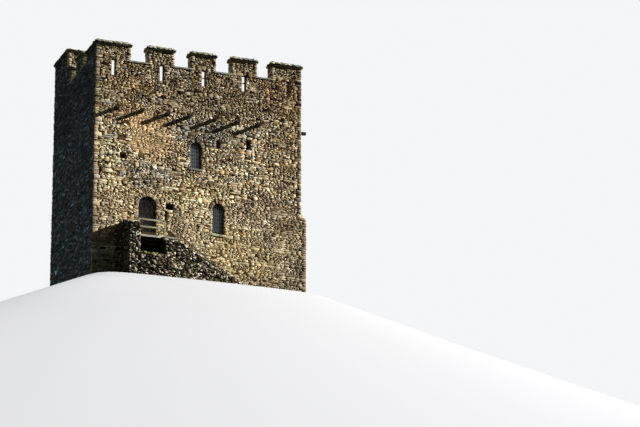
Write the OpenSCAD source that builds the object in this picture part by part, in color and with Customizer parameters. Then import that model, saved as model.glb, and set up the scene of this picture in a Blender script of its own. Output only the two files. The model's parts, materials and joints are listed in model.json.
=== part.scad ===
// Rectangular castle keep of rubble stone with a battlemented parapet, a stair turret and a ruined forebuilding.
// The origin is at ground level in the middle of the front face. X runs along the front, Y into the keep.

/* [Keep] */
// Width of the front
keep_w = 13400; // [12000:100:15000]
// Depth from front face to back face
keep_d = 9400; // [9000:100:11000]
// Height of the wall-walk, where the walls end
walk_z = 13450; // [13000:50:14500]
// Wall thickness of the basement
base_wall_t = 2150; // [2100:10:2300]
// Wall thickness of the first floor
first_wall_t = 2000; // [1950:10:2050]
// Wall thickness of the second floor
second_wall_t = 1850; // [1800:10:1900]
// How far the plinth stands out of the right side
plinth_out = 330; // [150:10:500]
// Height of the plinth's upright face
plinth_z = 5490; // [4500:10:6000]
// Height of the plinth's sloped top
plinth_slope = 470; // [200:10:600]

/* [Floors] */
// Level of the first floor and the threshold
first_floor_z = 3630; // [3500:10:3800]
// Level of the second floor
second_floor_z = 7100; // [6800:10:7300]
// Thickness of the floor boards
board_t = 60; // [40:5:80]
// Depth of a floor beam
beam_h = 260; // [200:10:320]
// Width of a floor beam
beam_w = 240; // [180:10:300]
// Beams under each floor
beam_count = 6; // [4:1:8]

/* [Roof] */
// Pitch of the roof
roof_pitch = 20; // [14:1:22]
// Upright thickness of the roof slopes
roof_t = 180; // [140:10:220]
// Thickness at the eaves
eave_t = 120; // [90:10:150]
// Distance from the wall face to the eaves
eave_in = 1500; // [1350:10:1550]
// Thickness of the roof's gable walls
gable_t = 250; // [200:10:300]
// Height of the ridge stones
ridge_t = 70; // [50:5:100]
// Half width of the ridge stones
ridge_half = 180; // [140:10:220]

/* [Battlements] */
// Thickness of the parapet
parapet_t = 600; // [500:10:650]
// Height of the embrasure sills above the wall-walk
sill_h = 1230; // [1180:10:1260]
// Height of the merlons above the sills
merlon_h = 920; // [800:10:1100]
// How much higher the side embrasures and the merlons between them stand
side_rise = 370; // [0:10:450]
// Thickness of the sill slabs
slab_t = 90; // [60:5:110]
// How far the sill slabs stand out
slab_out = 60; // [20:5:90]
// How far the sill slabs run past the front embrasures
slab_lap = 100; // [0:10:150]
// Height of a merlon cap at its ridge
cap_h = 340; // [250:10:420]
// Height of a merlon cap at its edge
cap_edge = 100; // [60:5:140]
// How far the caps stand out
cap_out = 90; // [50:5:130]
// How far a cap's hipped ends slope in
cap_hip = 240; // [150:10:320]
// Middle and width of each embrasure along the front and back
front_embrasures = [[-3920, 1140], [-1120, 1100], [1575, 1050], [4230, 960]];
// Distance from the corner and width of the side embrasures
side_embrasure = [2650, 1100];
// Distance from the turret and width of the embrasure beside it
turret_embrasure = [1325, 1250];
// Middle of each slit along the front and back
slit_places = [-5585, -2465, 265, 2895, 5835];
// Outer width of a slit
slit_w = 230; // [160:10:280]
// Inner width of a slit
slit_inner_w = 620; // [400:10:700]
// Height of a slit
slit_h = 1050; // [900:10:1100]
// Depth of a slit's narrow outer part
slit_throat = 250; // [150:10:300]
// How much higher a slit is inside
slit_over = 150; // [50:10:200]
// Height of a slit's foot above the wall-walk
slit_foot = 150; // [100:10:200]

/* [Stair turret] */
// Width of the turret
turret_w = 1600; // [1500:10:1600]
// Length of the turret along the left side
turret_d = 3000; // [2800:50:3100]
// Height of the turret walls above the wall-walk
turret_h = 3950; // [3600:50:4200]
// Thickness of the turret walls
turret_t = 420; // [360:10:460]
// How far the turret roof's hipped ends slope in
turret_hip = 600; // [300:10:900]
// Width of the turret doorway, from the parapet's inner face
turret_door_w = 560; // [480:10:570]
// Height of the turret doorway
turret_door_h = 1850; // [1700:10:1950]

/* [Doorway] */
// Middle of the doorway along the front
door_x = -3265; // [-3400:5:-3150]
// Width of the doorway
door_w = 1130; // [1000:10:1200]
// Height of the doorway at the top of its arch
door_h = 2340; // [2200:10:2450]
// Distance between the two centres of the arch, halved
arch_point = 35; // [0:5:80]
// Depth of the doorway in front of the leaf
door_set = 600; // [500:10:700]
// How far the passage is wider than the doorway on each side
rebate_w = 160; // [150:5:180]
// How far the passage is higher than the arch
rebate_h = 180; // [120:10:250]
// How far the leaf laps the stone on each side
leaf_lap = 60; // [40:5:70]
// Thickness of the leaf
leaf_t = 60; // [45:5:70]
// Clearance round the leaf
leaf_gap = 8; // [5:1:12]
// Rise of the step outside the door
step_h = 280; // [200:10:320]
// Depth of the step outside the door
step_d = 300; // [250:10:400]

/* [Hinges] */
// Radius of a hinge pin
pin_r = 14; // [10:1:18]
// Outer radius of a hinge eye
eye_r = 26; // [24:1:32]
// Running gap between pin and eye
pin_gap = 1; // [0.5:0.1:2]
// Gap between an eye and the collar that carries it
seat_gap = 0.3; // [0.2:0.1:0.5]
// Height of a strap
strap_h = 70; // [50:5:90]
// Thickness of a strap
strap_t = 10; // [8:1:14]
// Length of a strap along the leaf
strap_len = 1000; // [700:10:1050]
// Height of each strap's middle above the threshold
strap_places = [420, 1540];

/* [Windows] */
// Middle and sill height of the upper front window
upper_window = [-195, 8070];
// Width of the upper windows
upper_window_w = 710; // [600:10:800]
// Height of the upper windows
upper_window_h = 1760; // [1600:10:1900]
// Middle and sill height of the lower front window
lower_window = [1300, 4280];
// Width of the lower windows
lower_window_w = 760; // [650:10:850]
// Height of the lower windows
lower_window_h = 1710; // [1550:10:1850]
// How far the lower sills slope down to the face
sill_drop = 300; // [150:10:350]
// Distance from the front to the middle of the side window
side_window_y = 4700; // [4000:50:5400]
// Depth of the glass behind the face
glass_set = 450; // [350:10:500]
// Thickness of the glazing
glass_t = 24; // [15:1:40]
// Thickness of the upper window sill slabs
window_slab_t = 70; // [50:5:90]
// How far the window sill slabs stand out
window_slab_out = 70; // [40:5:100]
// How far the window sill slabs run past the opening
window_slab_lap = 90; // [50:5:130]
// Width of the window embrasures at the inner face
splay_w = 1400; // [1200:50:1400]

/* [Wall holes] */
// Left, foot, width and height of each blind hole in the front
blind_holes = [[-5040, 8240, 320, 310], [-2060, 5250, 430, 340], [1150, 9630, 200, 530], [3090, 9780, 240, 580]];
// Left, foot, width and height of the upright groove in the front
groove = [-2130, 3840, 100, 1290];
// Depth of the blind holes
hole_depth = 380; // [250:10:450]
// Depth of the groove
groove_depth = 90; // [60:5:120]

/* [Spouts] */
// Middle of each spout along the front and back
spout_places = [-5370, -3770, -2100, -710, 950, 2450, 3830];
// Distance from the front of each spout on the right side
side_spout_places = [400, 3100, 5800, 8500];
// Level of the spouts' undersides
spout_z = 11350; // [11250:10:11700]
// Width of a spout
spout_w = 230; // [140:10:260]
// Thickness of a spout
spout_t = 160; // [80:5:180]
// How far a spout stands out
spout_out = 450; // [300:10:500]
// How far a spout runs into the wall
spout_in = 350; // [200:10:500]

/* [Forebuilding] */
// How far the forebuilding stands out at its foot
fore_out = 2400; // [2200:50:2600]
// Left side of the broken wall
stub_x0 = -5100; // [-5200:10:-5000]
// Thickness of the broken wall
stub_t = 700; // [600:10:720]
// Steps of the broken wall's top, as distance from the keep and height
stub_top = [[0, 3950], [700, 3950], [730, 3800], [1230, 3720], [1260, 3540], [1880, 3480], [1910, 3330]];
// Top of the pit's front wall
pit_wall_z = 1480; // [1200:20:1700]
// Thickness of the pit's front wall
pit_wall_t = 550; // [450:10:700]
// Left end of the stair's masonry
stair_x0 = -2550; // [-2650:10:-2450]
// Where the landing ends and the steps start
stair_top_x = -1640; // [-1750:10:-1500]
// Level of the landing
landing_z = 3070; // [2950:10:3120]
// Width of the stair
stair_w = 1200; // [1000:10:1300]
// Risers from the ground to the landing
riser_count = 16; // [14:1:18]
// Going of a step
going = 262; // [240:2:290]
// Depth of a step stone under the step line
step_bed = 150; // [120:10:180]
// Joint between two step stones
step_joint = 2; // [1:1:5]
// Thickness of the bed joint under the step stones
bed_gap = 0.3; // [0.2:0.1:0.8]
// Thickness of the landing stone
landing_t = 110; // [80:5:140]
// How far the outer rubble lies below the steps
rubble_low = 330; // [200:10:400]
// Lean of the outer rubble's face at the top
rubble_lean = 1050; // [800:10:1150]
// Thickness of the bridge deck
deck_t = 150; // [100:10:180]
// Depth of the bridge deck
deck_d = 1150; // [1000:10:1190]
// How far the deck bears on its walls
deck_bearing = 150; // [120:10:400]

/* [Rails] */
// Side of a railing post
post_s = 110; // [90:5:130]
// Height of the railing
rail_h = 1030; // [950:10:1100]
// Height of the middle rail
mid_rail_h = 560; // [450:10:650]
// Height of a rail bar
rail_bar_h = 95; // [70:5:110]
// Thickness of a rail bar
rail_bar_t = 45; // [35:5:60]
// Height of the wall handrail above the step line
handrail_h = 900; // [800:10:950]
// Radius of the wall handrail
handrail_r = 32; // [24:1:40]
// Distance from the wall to the handrail's middle
handrail_out = 95; // [80:5:120]
// Brackets that hold the wall handrail
bracket_count = 4; // [3:1:6]
// Radius of a bracket rod
bracket_r = 11; // [8:1:14]

/* [Hidden] */
$fn = 48;
arch_fn = 192;

stone = "#9a8b70";
grey_stone = "#7d7a6c";
slate = "#5f6468";
timber = "#8b8376";
dark_timber = "#4a4042";
iron = "#33312f";

half_w = keep_w / 2;
mid_y = keep_d / 2;
floor_t = board_t + beam_h;
storeys = [
  [0, first_floor_z - floor_t, base_wall_t],
  [first_floor_z - floor_t, second_floor_z - floor_t, first_wall_t],
  [second_floor_z - floor_t, walk_z, second_wall_t]
];
sill_z = walk_z + sill_h;
band_z = sill_z - slab_t;
merlon_top = sill_z + merlon_h;
slit_z = walk_z + slit_foot;
turret_y = keep_d - turret_d;
turret_top = walk_z + turret_h;
inner_half = half_w - second_wall_t;
roof_rise = (mid_y - eave_in) * tan(roof_pitch);
ridge_z = walk_z + eave_t + roof_rise;
roof_bed = eave_in + (roof_t - eave_t) / tan(roof_pitch);

door_l = door_x - door_w / 2;
door_r = door_x + door_w / 2;
arch_r = door_w / 2 + arch_point;
arch_rise = sqrt(arch_r * arch_r - arch_point * arch_point);
spring_z = first_floor_z + door_h - arch_rise;
passage_top = first_floor_z + door_h + rebate_h;
leaf_y = door_set + leaf_gap;
leaf_back = leaf_y + leaf_t;
hinge_x = door_l - leaf_lap - eye_r - leaf_gap;
hinge_y = leaf_back + strap_t / 2;
collar_h = 16;
pin_top_over = 12;

windows = [
  ["front", upper_window[0], upper_window[1], upper_window_w, upper_window_h, 0],
  ["front", lower_window[0], lower_window[1], lower_window_w, lower_window_h, sill_drop],
  ["back", -upper_window[0], upper_window[1], upper_window_w, upper_window_h, 0],
  ["back", -lower_window[0], lower_window[1], lower_window_w, lower_window_h, sill_drop],
  ["right", side_window_y, upper_window[1], upper_window_w, upper_window_h, 0]
];
window_l = lower_window[0] - lower_window_w / 2;
window_r = lower_window[0] + lower_window_w / 2;
window_spring_z = lower_window[1] + lower_window_h - lower_window_w / 2;
splay_start = glass_set + glass_t;
splay_over = 120;
cut_past = 50;

stub_x1 = stub_x0 + stub_t;
rise = landing_z / riser_count;
step_slope = rise / going;
stair_foot_x = stair_top_x + (riser_count - 1) * going;
core_top = landing_z - landing_t;
deck_z = landing_z - deck_t;
rail_y = -deck_d + post_s / 2;
rail_x0 = stub_x1 + post_s * 2;
rail_x1 = stair_x0 + deck_bearing;

// Helpers for blocks and for outlines drawn along X or Y
module block(x0, x1, y0, y1, z0, z1) {
  translate([x0, y0, z0]) cube([x1 - x0, y1 - y0, z1 - z0]);
}

module along_x(x0, x1) {
  translate([x0, 0, 0]) rotate([90, 0, 90]) linear_extrude(x1 - x0) children();
}

module along_y(y0, y1) {
  translate([0, y1, 0]) rotate([90, 0, 0]) linear_extrude(y1 - y0) children();
}

// Puts what is drawn for the front, with its middle at X = 0, on one of the faces
module on_face(face, along) {
  if (face == "front") translate([along, 0, 0]) children();
  if (face == "back") translate([along, keep_d, 0]) rotate([0, 0, 180]) children();
  if (face == "right") translate([half_w, along, 0]) rotate([0, 0, 90]) children();
}

// Doorway, door leaf and windows share these outlines
module pointed_arch(w, foot, spring, centre_out) {
  r = w / 2 + centre_out;
  translate([-w / 2, foot]) square([w, spring - foot]);
  intersection() {
    translate([centre_out, spring]) circle(r, $fn = arch_fn);
    translate([-centre_out, spring]) circle(r, $fn = arch_fn);
    translate([-r, spring]) square([2 * r, r]);
  }
}

module round_arch(w, foot, h) {
  spring = foot + h - w / 2;
  translate([-w / 2, foot]) square([w, spring - foot]);
  intersection() {
    translate([0, spring]) circle(w / 2, $fn = arch_fn);
    translate([-w / 2, spring]) square([w, w / 2]);
  }
}

module door_passage() {
  translate([door_x, 0, 0]) {
    along_y(-cut_past, door_set) pointed_arch(door_w, first_floor_z, spring_z, arch_point);
    block(-door_w / 2 - rebate_w, door_w / 2 + rebate_w, door_set, first_wall_t + cut_past,
      first_floor_z, passage_top);
  }
}

// One window opening, from the outer face to the splayed embrasure behind the glass
module window_cut(w, sill, h, drop) {
  splay_t = sill < second_floor_z ? first_wall_t : second_wall_t;
  along_y(-cut_past, splay_start) round_arch(w, sill, h);
  if (drop > 0)
    along_x(-w / 2, w / 2)
      polygon([[-cut_past, sill - drop], [0, sill - drop], [glass_set, sill], [-cut_past, sill]]);
  translate([0, 0, sill]) linear_extrude(h + splay_over)
    polygon([[-w / 2, splay_start], [-splay_w / 2, splay_t + cut_past],
      [splay_w / 2, splay_t + cut_past], [w / 2, splay_start]]);
}

module window_cuts(face) {
  for (win = windows)
    if (win[0] == face) on_face(face, win[1]) window_cut(win[3], win[2], win[4], win[5]);
}

// Walls, thinner on each storey so that the floors lie on their ledges
module front_run(x0, x1) {
  for (s = storeys) block(x0, x1, 0, s[2], s[0], s[1]);
}

module front_holes() {
  for (h = blind_holes) block(h[0], h[0] + h[2], -cut_past, hole_depth, h[1], h[1] + h[3]);
  block(groove[0], groove[0] + groove[2], -cut_past, groove_depth, groove[1], groove[1] + groove[3]);
}

module front_wall_piece(x0, x1, z0, z1) {
  color(stone)
  difference() {
    intersection() {
      front_run(x0, x1);
      block(x0, x1, 0, base_wall_t, z0, z1);
    }
    door_passage();
    window_cuts("front");
    front_holes();
    spouts();
  }
}

module front_wall_left() {
  front_wall_piece(-half_w, door_l, 0, walk_z);
}

module front_wall_below_door() {
  front_wall_piece(door_l, door_r, 0, first_floor_z);
}

module front_wall_over_door() {
  front_wall_piece(door_l, door_r, spring_z, walk_z);
}

module front_wall_middle() {
  front_wall_piece(door_r, window_l, 0, walk_z);
}

module front_wall_below_window() {
  front_wall_piece(window_l, window_r, 0, lower_window[1]);
}

module front_wall_over_window() {
  front_wall_piece(window_l, window_r, window_spring_z, walk_z);
}

module front_wall_right() {
  front_wall_piece(window_r, half_w, 0, walk_z);
}

module side_run() {
  for (s = storeys) block(half_w - s[2], half_w, s[2], keep_d - s[2], s[0], s[1]);
}

module left_wall() {
  color(stone) mirror([1, 0, 0]) side_run();
}

module right_wall() {
  color(stone)
  difference() {
    side_run();
    window_cuts("right");
    spouts();
  }
}

module back_wall() {
  color(stone)
  difference() {
    translate([0, keep_d, 0]) mirror([0, 1, 0]) front_run(-half_w, half_w);
    window_cuts("back");
    spouts();
  }
}

module right_plinth() {
  color(stone)
  along_y(0, keep_d)
    polygon([[half_w, 0], [half_w + plinth_out, 0], [half_w + plinth_out, plinth_z],
      [half_w, plinth_z + plinth_slope]]);
}

// Floors of boards on beams
module floor_deck(level, wall_t) {
  x1 = half_w - wall_t;
  y0 = wall_t;
  y1 = keep_d - wall_t;
  color(timber) {
    block(-x1, x1, y0, y1, level - board_t, level);
    pitch = (2 * x1 - beam_w) / (beam_count - 1);
    for (i = [0 : beam_count - 1])
      block(-x1 + i * pitch, -x1 + i * pitch + beam_w, y0, y1, level - floor_t, level - board_t);
  }
}

module first_floor() {
  floor_deck(first_floor_z, first_wall_t);
}

module second_floor() {
  floor_deck(second_floor_z, second_wall_t);
}

// Low roof behind the parapet
module roof_front_slope() {
  color(slate)
  along_x(-inner_half - gable_t, inner_half + gable_t)
    polygon([[eave_in, walk_z], [eave_in, walk_z + eave_t], [mid_y, ridge_z], [mid_y, ridge_z - roof_t],
      [roof_bed, walk_z]]);
}

module roof_back_slope() {
  translate([0, keep_d, 0]) mirror([0, 1, 0]) roof_front_slope();
}

module roof_gables() {
  color(stone)
  for (side = [0, 1]) mirror([side, 0, 0])
    along_x(inner_half, inner_half + gable_t)
      polygon([[roof_bed, walk_z], [mid_y, ridge_z - roof_t], [keep_d - roof_bed, walk_z]]);
}

module roof_ridge() {
  low = ridge_z - ridge_half * tan(roof_pitch);
  color(slate)
  along_x(-inner_half - gable_t, inner_half + gable_t)
    polygon([[mid_y - ridge_half, low], [mid_y, ridge_z], [mid_y + ridge_half, low],
      [mid_y + ridge_half, low + ridge_t], [mid_y, ridge_z + ridge_t], [mid_y - ridge_half, low + ridge_t]]);
}

// Battlements: a band pierced by slits, merlons on it, and a cap on each merlon
function runs(start, finish, gaps) = [
  for (i = [0 : len(gaps)])
    [i == 0 ? start : gaps[i - 1][0] + gaps[i - 1][1] / 2,
     i == len(gaps) ? finish : gaps[i][0] - gaps[i][1] / 2]
];
front_runs = runs(-half_w, half_w, front_embrasures);
back_start = -half_w + turret_w;
back_first = front_embrasures[0][0] + front_embrasures[0][1] / 2;
back_embrasures = [for (g = front_embrasures) if (g[0] > back_first) g];
back_runs = runs(back_first, half_w, back_embrasures);
left_embrasures = [side_embrasure, [turret_y - turret_embrasure[0], turret_embrasure[1]]];
right_embrasures = [for (y = [side_embrasure[0], mid_y, keep_d - side_embrasure[0]]) [y, side_embrasure[1]]];
left_runs = runs(parapet_t, turret_y, left_embrasures);
right_runs = runs(parapet_t, keep_d - parapet_t, right_embrasures);
// A merlon that turns the corner keeps the height of the front
function turns_corner(m) = m[0] == parapet_t || m[1] == keep_d - parapet_t;
function side_lift(m) = turns_corner(m) ? 0 : side_rise;

module to_back() {
  translate([0, keep_d, 0]) mirror([0, 1, 0]) children();
}

module slit_cuts() {
  for (x = slit_places) translate([x, 0, slit_z]) {
    block(-slit_w / 2, slit_w / 2, -cut_past, slit_throat + cut_past, 0, slit_h);
    linear_extrude(slit_h + slit_over)
      polygon([[-slit_w / 2, slit_throat], [-slit_inner_w / 2, parapet_t],
        [-slit_inner_w / 2, parapet_t + cut_past], [slit_inner_w / 2, parapet_t + cut_past],
        [slit_inner_w / 2, parapet_t], [slit_w / 2, slit_throat]]);
  }
}

module front_parapet() {
  color(stone)
  difference() {
    block(-half_w, half_w, 0, parapet_t, walk_z, band_z);
    slit_cuts();
  }
}

module back_parapet() {
  color(stone)
  to_back() difference() {
    block(back_start, half_w, 0, parapet_t, walk_z, band_z);
    slit_cuts();
  }
}

module side_band(y0, y1, raised_y0, raised_y1) {
  block(half_w - parapet_t, half_w, y0, y1, walk_z, band_z);
  block(half_w - parapet_t, half_w, raised_y0, raised_y1, band_z, band_z + side_rise);
}

module left_parapet() {
  color(stone) mirror([1, 0, 0]) side_band(parapet_t, turret_y, left_runs[0][1], turret_y);
}

module right_parapet() {
  color(stone)
  side_band(parapet_t, keep_d - parapet_t, right_runs[0][1], right_runs[len(right_runs) - 1][0]);
}

module merlons_on_front(places) {
  color(stone)
  difference() {
    for (m = places) block(m[0], m[1], 0, parapet_t, band_z, merlon_top);
    slit_cuts();
  }
}

module front_merlons() {
  merlons_on_front(front_runs);
}

module back_merlons() {
  to_back() merlons_on_front(back_runs);
}

module side_merlons(places) {
  for (m = places)
    block(half_w - parapet_t, half_w, m[0], m[1], band_z + side_lift(m), merlon_top + side_lift(m));
}

module left_merlons() {
  color(stone) mirror([1, 0, 0]) side_merlons(left_runs);
}

module right_merlons() {
  color(stone) side_merlons(right_runs);
}

// A stone cap that slopes to a ridge along X, hipped at both ends
module hipped_cap(x0, x1, y0, y1, z, edge, h, hip) {
  ym = (y0 + y1) / 2;
  intersection() {
    along_x(x0, x1) polygon([[y0, z], [y0, z + edge], [ym, z + h], [y1, z + edge], [y1, z]]);
    along_y(y0, y1)
      polygon([[x0, z], [x0, z + edge], [x0 + hip, z + h], [x1 - hip, z + h], [x1, z + edge], [x1, z]]);
  }
}

module caps_on_front(places) {
  color(grey_stone)
  for (m = places)
    hipped_cap(m[0] - cap_out, m[1] + cap_out, -cap_out, parapet_t + cap_out, merlon_top,
      cap_edge, cap_h, cap_hip);
}

module front_caps() {
  caps_on_front(front_runs);
}

module back_caps() {
  to_back() caps_on_front(back_runs);
}

// Side caps are drawn along X and turned, and those at a corner start where the front cap ends
module caps_on_side(places) {
  for (m = places) {
    y0 = m[0] == parapet_t ? m[0] + cap_out : m[0] - cap_out;
    y1 = m[1] == keep_d - parapet_t ? m[1] - cap_out : m[1] == turret_y ? m[1] : m[1] + cap_out;
    rotate([0, 0, 90])
      hipped_cap(y0, y1, -half_w - cap_out, -half_w + parapet_t + cap_out, merlon_top + side_lift(m),
        cap_edge, cap_h, cap_hip);
  }
}

module side_caps() {
  color(grey_stone) {
    mirror([1, 0, 0]) caps_on_side(left_runs);
    caps_on_side(right_runs);
  }
}

module front_slabs(gaps) {
  for (g = gaps) {
    block(g[0] - g[1] / 2, g[0] + g[1] / 2, -slab_out, parapet_t + slab_out, band_z, sill_z);
    block(g[0] - g[1] / 2 - slab_lap, g[0] + g[1] / 2 + slab_lap, -slab_out, 0, band_z, sill_z);
  }
}

module side_slabs(gaps) {
  for (g = gaps)
    block(half_w - parapet_t - slab_out, half_w + slab_out, g[0] - g[1] / 2, g[0] + g[1] / 2,
      band_z + side_rise, sill_z + side_rise);
}

module window_slabs() {
  for (win = windows) if (win[5] == 0) on_face(win[0], win[1]) {
    w = win[3] / 2 + window_slab_lap;
    block(-w, w, -window_slab_out, 0, win[2] - window_slab_t, win[2]);
  }
}

module sill_slabs() {
  color(grey_stone) {
    front_slabs(front_embrasures);
    to_back() {
      front_slabs(back_embrasures);
      block(back_start, back_first, -slab_out, parapet_t + slab_out, band_z, sill_z);
    }
    mirror([1, 0, 0]) side_slabs(left_embrasures);
    side_slabs(right_embrasures);
    window_slabs();
  }
}

// Stair turret on the back left corner, hollow, with its doorway on the wall-walk
module turret_walls() {
  door_x0 = -half_w + parapet_t;
  color(stone)
  difference() {
    block(-half_w, back_start, turret_y, keep_d, walk_z, turret_top);
    block(-half_w + turret_t, back_start - turret_t, turret_y + turret_t, keep_d - turret_t,
      walk_z - cut_past, turret_top + cut_past);
    block(door_x0, door_x0 + turret_door_w, turret_y - cut_past, turret_y + turret_t + cut_past,
      walk_z - cut_past, walk_z + turret_door_h);
  }
}

module turret_roof() {
  color(grey_stone)
  mirror([1, 0, 0]) rotate([0, 0, 90])
    hipped_cap(turret_y - cap_out, keep_d + cap_out, -half_w - cap_out, back_start + cap_out, turret_top,
      cap_edge, cap_h, turret_hip);
}

// Stone spouts, each with its tail in the wall
module spout() {
  block(-spout_w / 2, spout_w / 2, -spout_out, spout_in, spout_z, spout_z + spout_t);
}

module spouts_on(face) {
  places = face == "right" ? side_spout_places : spout_places;
  for (x = places) on_face(face, face == "back" ? -x : x) spout();
}

module spouts() {
  color(slate) {
    spouts_on("front");
    spouts_on("right");
    spouts_on("back");
  }
}

// Glazing
module window_glass() {
  color("#8fa3b0", 0.6)
  for (win = windows) on_face(win[0], win[1])
    along_y(glass_set, splay_start) round_arch(win[3], win[2], win[4]);
}

// Entrance door: planked leaf on two strap hinges
module door_leaf() {
  color(dark_timber)
  translate([door_x, 0, 0])
    along_y(leaf_y, leaf_back)
      pointed_arch(door_w + 2 * leaf_lap, first_floor_z + leaf_gap, spring_z, arch_point);
}

module at_straps() {
  for (h = strap_places) translate([hinge_x, hinge_y, first_floor_z + h]) children();
}

module door_straps() {
  color(iron)
  at_straps() difference() {
    union() {
      block(0, strap_len, -strap_t / 2, strap_t / 2, -strap_h / 2, strap_h / 2);
      translate([0, 0, -strap_h / 2]) cylinder(r = eye_r, h = strap_h);
    }
    translate([0, 0, -strap_h]) cylinder(r = pin_r + pin_gap, h = 2 * strap_h);
  }
}

module door_pintles() {
  tail = hinge_x - (door_l - rebate_w);
  collar_foot = -strap_h / 2 - seat_gap - collar_h;
  color(iron)
  at_straps() {
    translate([0, 0, collar_foot]) cylinder(r = pin_r, h = strap_h + collar_h + pin_top_over);
    translate([0, 0, collar_foot]) cylinder(r = eye_r, h = collar_h);
    block(-tail, 0, -collar_h / 2, collar_h / 2, collar_foot, collar_foot + collar_h);
  }
}

module door_step() {
  color(grey_stone) block(door_l, door_r, -step_d, 0, landing_z, landing_z + step_h);
}

// Ruined forebuilding: broken wall, pit, stair and bridge
module stub_wall() {
  last = stub_top[len(stub_top) - 1];
  outline = concat([for (p = stub_top) [-p[0], p[1]]], [[-fore_out, last[1]], [-fore_out, 0], [0, 0]]);
  color(grey_stone)
  difference() {
    along_x(stub_x0, stub_x1) polygon(outline);
    bridge_deck();
  }
}

module pit_wall() {
  color(grey_stone) block(stub_x1, stair_x0, -fore_out, -fore_out + pit_wall_t, 0, pit_wall_z);
}

// Height of the line through the back corners of the steps, and where a line that much lower meets the ground
function step_line(x) = landing_z - rise - (x - stair_top_x) * step_slope;
function foot_under(depth) = stair_top_x + (landing_z - rise - depth) / step_slope;

module stair_core() {
  color(grey_stone)
  difference() {
    along_y(-stair_w, 0)
      polygon([[stair_x0, 0], [stair_x0, core_top], [stair_top_x, core_top],
        [stair_top_x, step_line(stair_top_x) - step_bed], [foot_under(step_bed), 0]]);
    bridge_deck();
  }
}

module stair_steps() {
  color(grey_stone) {
    difference() {
      block(stair_x0, stair_top_x, -stair_w, 0, core_top, landing_z);
      bridge_deck();
    }
    for (i = [1 : riser_count - 1]) {
      x0 = stair_top_x + (i - 1) * going + step_joint;
      x1 = stair_top_x + i * going;
      top = landing_z - i * rise;
      bed0 = step_line(x0) - step_bed + bed_gap;
      bed1 = step_line(x1) - step_bed + bed_gap;
      along_y(-stair_w, 0)
        polygon(concat([[x0, max(bed0, 0)], [x0, top], [x1, top], [x1, max(bed1, 0)]],
          bed0 > 0 && bed1 < 0 ? [[foot_under(step_bed - bed_gap), 0]] : []));
    }
  }
}

module stair_rubble() {
  low = landing_z - rubble_low;
  color(grey_stone)
  intersection() {
    along_x(stair_x0, stair_foot_x)
      polygon([[-stair_w, 0], [-fore_out, 0], [-fore_out + rubble_lean, low], [-stair_w, low]]);
    along_y(-fore_out, -stair_w)
      polygon([[stair_x0, 0], [stair_x0, low], [stair_top_x, low], [stair_foot_x, rise / 2], [stair_foot_x, 0]]);
  }
}

module bridge_deck() {
  color(timber)
  block(stub_x1 - deck_bearing, stair_x0 + deck_bearing, -deck_d, 0, deck_z, landing_z);
}

module bridge_railing() {
  color(timber) {
    for (x = [rail_x0, rail_x1 - post_s])
      block(x, x + post_s, rail_y - post_s / 2, rail_y + post_s / 2, landing_z, landing_z + rail_h);
    for (z = [rail_h - rail_bar_h, mid_rail_h - rail_bar_h])
      block(rail_x0 - post_s / 2, rail_x1, rail_y - rail_bar_t / 2, rail_y + rail_bar_t / 2, landing_z + z,
        landing_z + z + rail_bar_h);
  }
}

module wall_handrail() {
  run = stair_foot_x - stair_top_x;
  drop = run * step_slope;
  color(timber) {
    translate([stair_top_x, -handrail_out, landing_z + handrail_h])
      rotate([0, 90 + atan2(drop, run), 0])
        cylinder(r = handrail_r, h = sqrt(run * run + drop * drop));
    for (i = [0 : bracket_count - 1]) {
      s = (i + 0.5) / bracket_count;
      translate([stair_top_x + s * run, -handrail_out, landing_z + handrail_h - s * drop])
        rotate([-90, 0, 0]) cylinder(r = bracket_r, h = handrail_out);
    }
  }
}

front_wall_left();
front_wall_below_door();
front_wall_over_door();
front_wall_middle();
front_wall_below_window();
front_wall_over_window();
front_wall_right();
left_wall();
right_wall();
back_wall();
right_plinth();
first_floor();
second_floor();
roof_front_slope();
roof_back_slope();
roof_gables();
roof_ridge();
front_parapet();
left_parapet();
right_parapet();
back_parapet();
front_merlons();
left_merlons();
right_merlons();
back_merlons();
front_caps();
side_caps();
back_caps();
sill_slabs();
turret_walls();
turret_roof();
spouts();
window_glass();
door_leaf();
door_straps();
door_pintles();
door_step();
stub_wall();
pit_wall();
stair_core();
stair_rubble();
stair_steps();
bridge_deck();
bridge_railing();
wall_handrail();
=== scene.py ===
"""Looks, camera and stage of a rubble stone castle keep, laid out as an add-on and run as a script."""

import json
import math
from collections import namedtuple

import bmesh
import bpy
import numpy as np
from bpy.props import FloatProperty, FloatVectorProperty, PointerProperty
from mathutils import Matrix, Vector, noise


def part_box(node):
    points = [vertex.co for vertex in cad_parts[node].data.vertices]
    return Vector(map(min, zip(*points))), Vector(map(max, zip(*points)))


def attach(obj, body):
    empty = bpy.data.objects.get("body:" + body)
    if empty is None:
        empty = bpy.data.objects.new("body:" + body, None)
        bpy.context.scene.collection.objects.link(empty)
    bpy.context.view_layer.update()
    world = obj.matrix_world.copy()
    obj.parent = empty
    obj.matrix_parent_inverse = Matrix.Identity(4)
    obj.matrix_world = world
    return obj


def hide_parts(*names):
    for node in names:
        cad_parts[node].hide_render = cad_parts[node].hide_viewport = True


bl_info = {
    "name": "Castle Keep Looks",
    "version": (1, 0, 0),
    "blender": (4, 5, 0),
    "location": "View3D > Sidebar > Keep",
    "description": "Lays the masonry, roofs, glazing and timber of a castle keep around its packed model",
    "category": "Object",
}

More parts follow.
